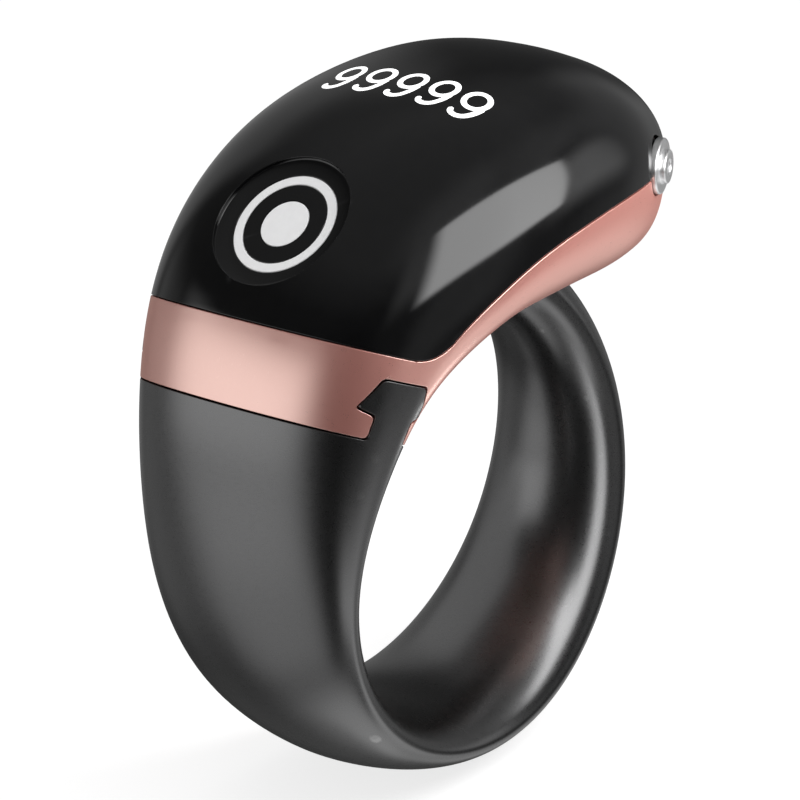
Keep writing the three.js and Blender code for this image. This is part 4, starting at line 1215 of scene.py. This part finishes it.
def card_mask(n, offset, half, soft):
    """1 inside a half width, 0 outside it, with a soft edge."""
    inputs = {0: n.math("ABSOLUTE", offset), 1: half + soft / 2, 2: half - soft / 2, 3: 0.0, 4: 1.0}
    return n.node("ShaderNodeMapRange", inputs, clamp=True, interpolation_type="SMOOTHSTEP").outputs[0]


def dome_material():
    """Grey cards, a bright window and the pale table, placed by direction."""
    material, n = new_material("gloss_dome")
    unit = n.vector("NORMALIZE", n.node("ShaderNodeTexCoord").outputs["Object"])
    x, y, z = n.node("ShaderNodeSeparateXYZ", {0: unit}).outputs
    azimuth = n.math("DEGREES", n.math("ARCTAN2", y, x))
    height = n.math("DEGREES", n.math("ARCSINE", z))
    level = n.plus(n.span(height, 34, 56, 0.06, 0.23), n.span(height, -58, -74, 0.0, 1.1))
    for card_azimuth, card_height, half_width, half_height, across, up, grey in GLOSS_CARDS:
        turn = n.node("ShaderNodeMath", {0: azimuth, 1: card_azimuth + 180.0, 2: card_azimuth - 180.0},
                      operation="WRAP").outputs[0]
        beside = card_mask(n, n.math("SUBTRACT", turn, card_azimuth), half_width, across)
        above = card_mask(n, n.math("SUBTRACT", height, card_height), half_height, up)
        inputs = {0: n.times(beside, above), 2: level, 3: grey}
        level = n.node("ShaderNodeMix", inputs, data_type="FLOAT").outputs[0]
    n.node("ShaderNodeOutputMaterial", {0: white_glow(n, level)})
    material.cycles.emission_sampling = "NONE"
    return material


def lit_face_material(x_half, y_half, near, far):
    """The lit face of a lamp or a card: soft edges, and a level that changes towards one end."""
    material, n = new_material("lamp_face")
    x, y, _ = n.node("ShaderNodeSeparateXYZ", {0: n.node("ShaderNodeTexCoord").outputs["Object"]}).outputs
    inside = n.times(card_mask(n, x, x_half * 0.9, x_half * 0.2),
                     card_mask(n, y, y_half * 0.92, y_half * 0.16))
    clear = n.node("ShaderNodeBsdfTransparent").outputs[0]
    inputs = {0: inside, 1: clear, 2: white_glow(n, n.span(x, 0, x_half, near, far))}
    both = n.node("ShaderNodeMixShader", inputs)
    n.node("ShaderNodeOutputMaterial", {0: both.outputs[0]})
    return material


def only_gloss(obj):
    """A stage piece that is seen in the object's gloss alone, and shades nothing."""
    for ray in ("camera", "diffuse", "transmission", "shadow", "volume_scatter"):
        setattr(obj, "visible_" + ray, False)


def make_dome(radius):
    dome = turned("gloss_dome", arc((0, 0), radius, -90, 90, 32), 64, TO_METRES)
    dome.data.materials.append(dome_material())
    only_gloss(dome)


def flat_card(name, x, y):
    """A flat rectangle that faces +Z, by its half sizes."""
    return mesh_object(name, [(-x, -y, 0), (x, -y, 0), (x, y, 0), (-x, y, 0)], [(0, 1, 2, 3)])


def lit_card(name, size, axes, centre, near, far):
    half = size[0] * MM / 2, size[1] * MM / 2
    card = flat_card(name, *half)
    card.data.materials.append(lit_face_material(*half, near, far))
    card.matrix_world = basis(*axes, centre * MM)
    only_gloss(card)


def make_lamp_face(azimuth, height, distance, roll, lean, size, levels):
    """The key lamp's face: placed by direction from the head, rolled and leaned, in millimetres."""
    a, e = math.radians(azimuth), math.radians(height)
    back = Vector((math.cos(e) * math.cos(a), math.cos(e) * math.sin(a), math.sin(e)))
    side = Vector((0, 0, 1)).cross(back).normalized()
    leaning = [math.tan(math.radians(angle)) for angle in lean]
    facing = (back + side * leaning[0] + back.cross(side) * leaning[1]).normalized()
    side = (side - facing * side.dot(facing)).normalized()
    up = facing.cross(side)
    turn = math.radians(roll)
    along = side * math.cos(turn) + up * math.sin(turn)
    over = up * math.cos(turn) - side * math.sin(turn)
    lit_card("lamp_face", size, (along, over, facing), back * distance + Vector(HEAD_CENTRE), *levels)


def make_gloss_card(name, centre, aim, size, level):
    """A small card near the object; its place and size are in millimetres."""
    facing = (Vector(aim) - Vector(centre)).normalized()
    side = Vector((0, 0, 1)).cross(facing).normalized()
    lit_card(name, size, (side, facing.cross(side), facing), Vector(centre), level, level)


def soft_box(name, centre, aim, size, radiance):
    """A rectangular lamp; its place and size are in millimetres."""
    data = bpy.data.lights.new(name, "AREA")
    data.shape = "RECTANGLE"
    data.size, data.size_y = size[0] * MM, size[1] * MM
    data.energy = radiance * math.pi * data.size * data.size_y
    lamp = add_object(name, data)
    lamp.location = Vector(centre) * MM
    lamp.rotation_mode = "QUATERNION"
    lamp.rotation_quaternion = (Vector(centre) - Vector(aim)).to_track_quat("Z", "Y")
    lamp.visible_camera = lamp.visible_glossy = False


HEAD_CENTRE = (0, 0, 8)
FLOOR_SIZE = 1800
FLOOR_DROP = 0.02

floor = flat_card("floor", FLOOR_SIZE * MM / 2, FLOOR_SIZE * MM / 2)
floor.data.transform(Matrix.Translation((0, 0, CAD_BOX[0].z - FLOOR_DROP * MM)))
floor.data.materials.append(floor_material())
floor.visible_glossy = False

make_dome(1000)
make_lamp_face(-73, 35.5, 34, -6.5, (-34.5, -32), (47, 23), (5.75, 4.2))
make_gloss_card("rim_card", (5.9, -10.1, -1.5), (8.6, -3.9, -7.0), (4.2, 3.6), 4.5)
make_gloss_card("hole_card", (4.5, 11.5, 1.0), (6.5, 0.0, -7.5), (15, 12), 0.65)
soft_box("key_lamp", (8, -36, 33), HEAD_CENTRE, (44, 30), 6.0)
soft_box("top_lamp", (-60, -40, 420), HEAD_CENTRE, (320, 320), 1.2)

world = bpy.data.worlds.new("studio")
bpy.context.scene.world = world
air = blank_nodes(world)
level = air.span(light_path(air), 0, 1, 0.6, 1.0)
sky = air.node("ShaderNodeBackground", {"Color": rgba((1, 1, 1)), "Strength": level})
air.node("ShaderNodeOutputWorld", {0: sky.outputs[0]})

# The camera's lens, directions and shifts come from a fit to the object's outlines.
LENS, SENSOR = 135.91, 36
RIGHT = Vector((0.6329, -0.7743, 0.0)).normalized()
BACK = Vector((-0.7315, -0.5979, 0.3277)).normalized()
UP = BACK.cross(RIGHT).normalized()
DISTANCE, SHIFT_X, SHIFT_Y = 151.35, 0.758, -4.777

camera_data = bpy.data.cameras.new("camera")
camera_data.lens = LENS
camera_data.sensor_width = SENSOR
camera_data.clip_start, camera_data.clip_end = 0.01, 20
camera = add_object("camera", camera_data)
eye = BACK * DISTANCE - RIGHT * SHIFT_X - UP * SHIFT_Y
camera.matrix_world = basis(RIGHT, UP, BACK, eye * MM)
bpy.context.scene.camera = camera
bpy.context.scene.view_settings.view_transform = "Standard"
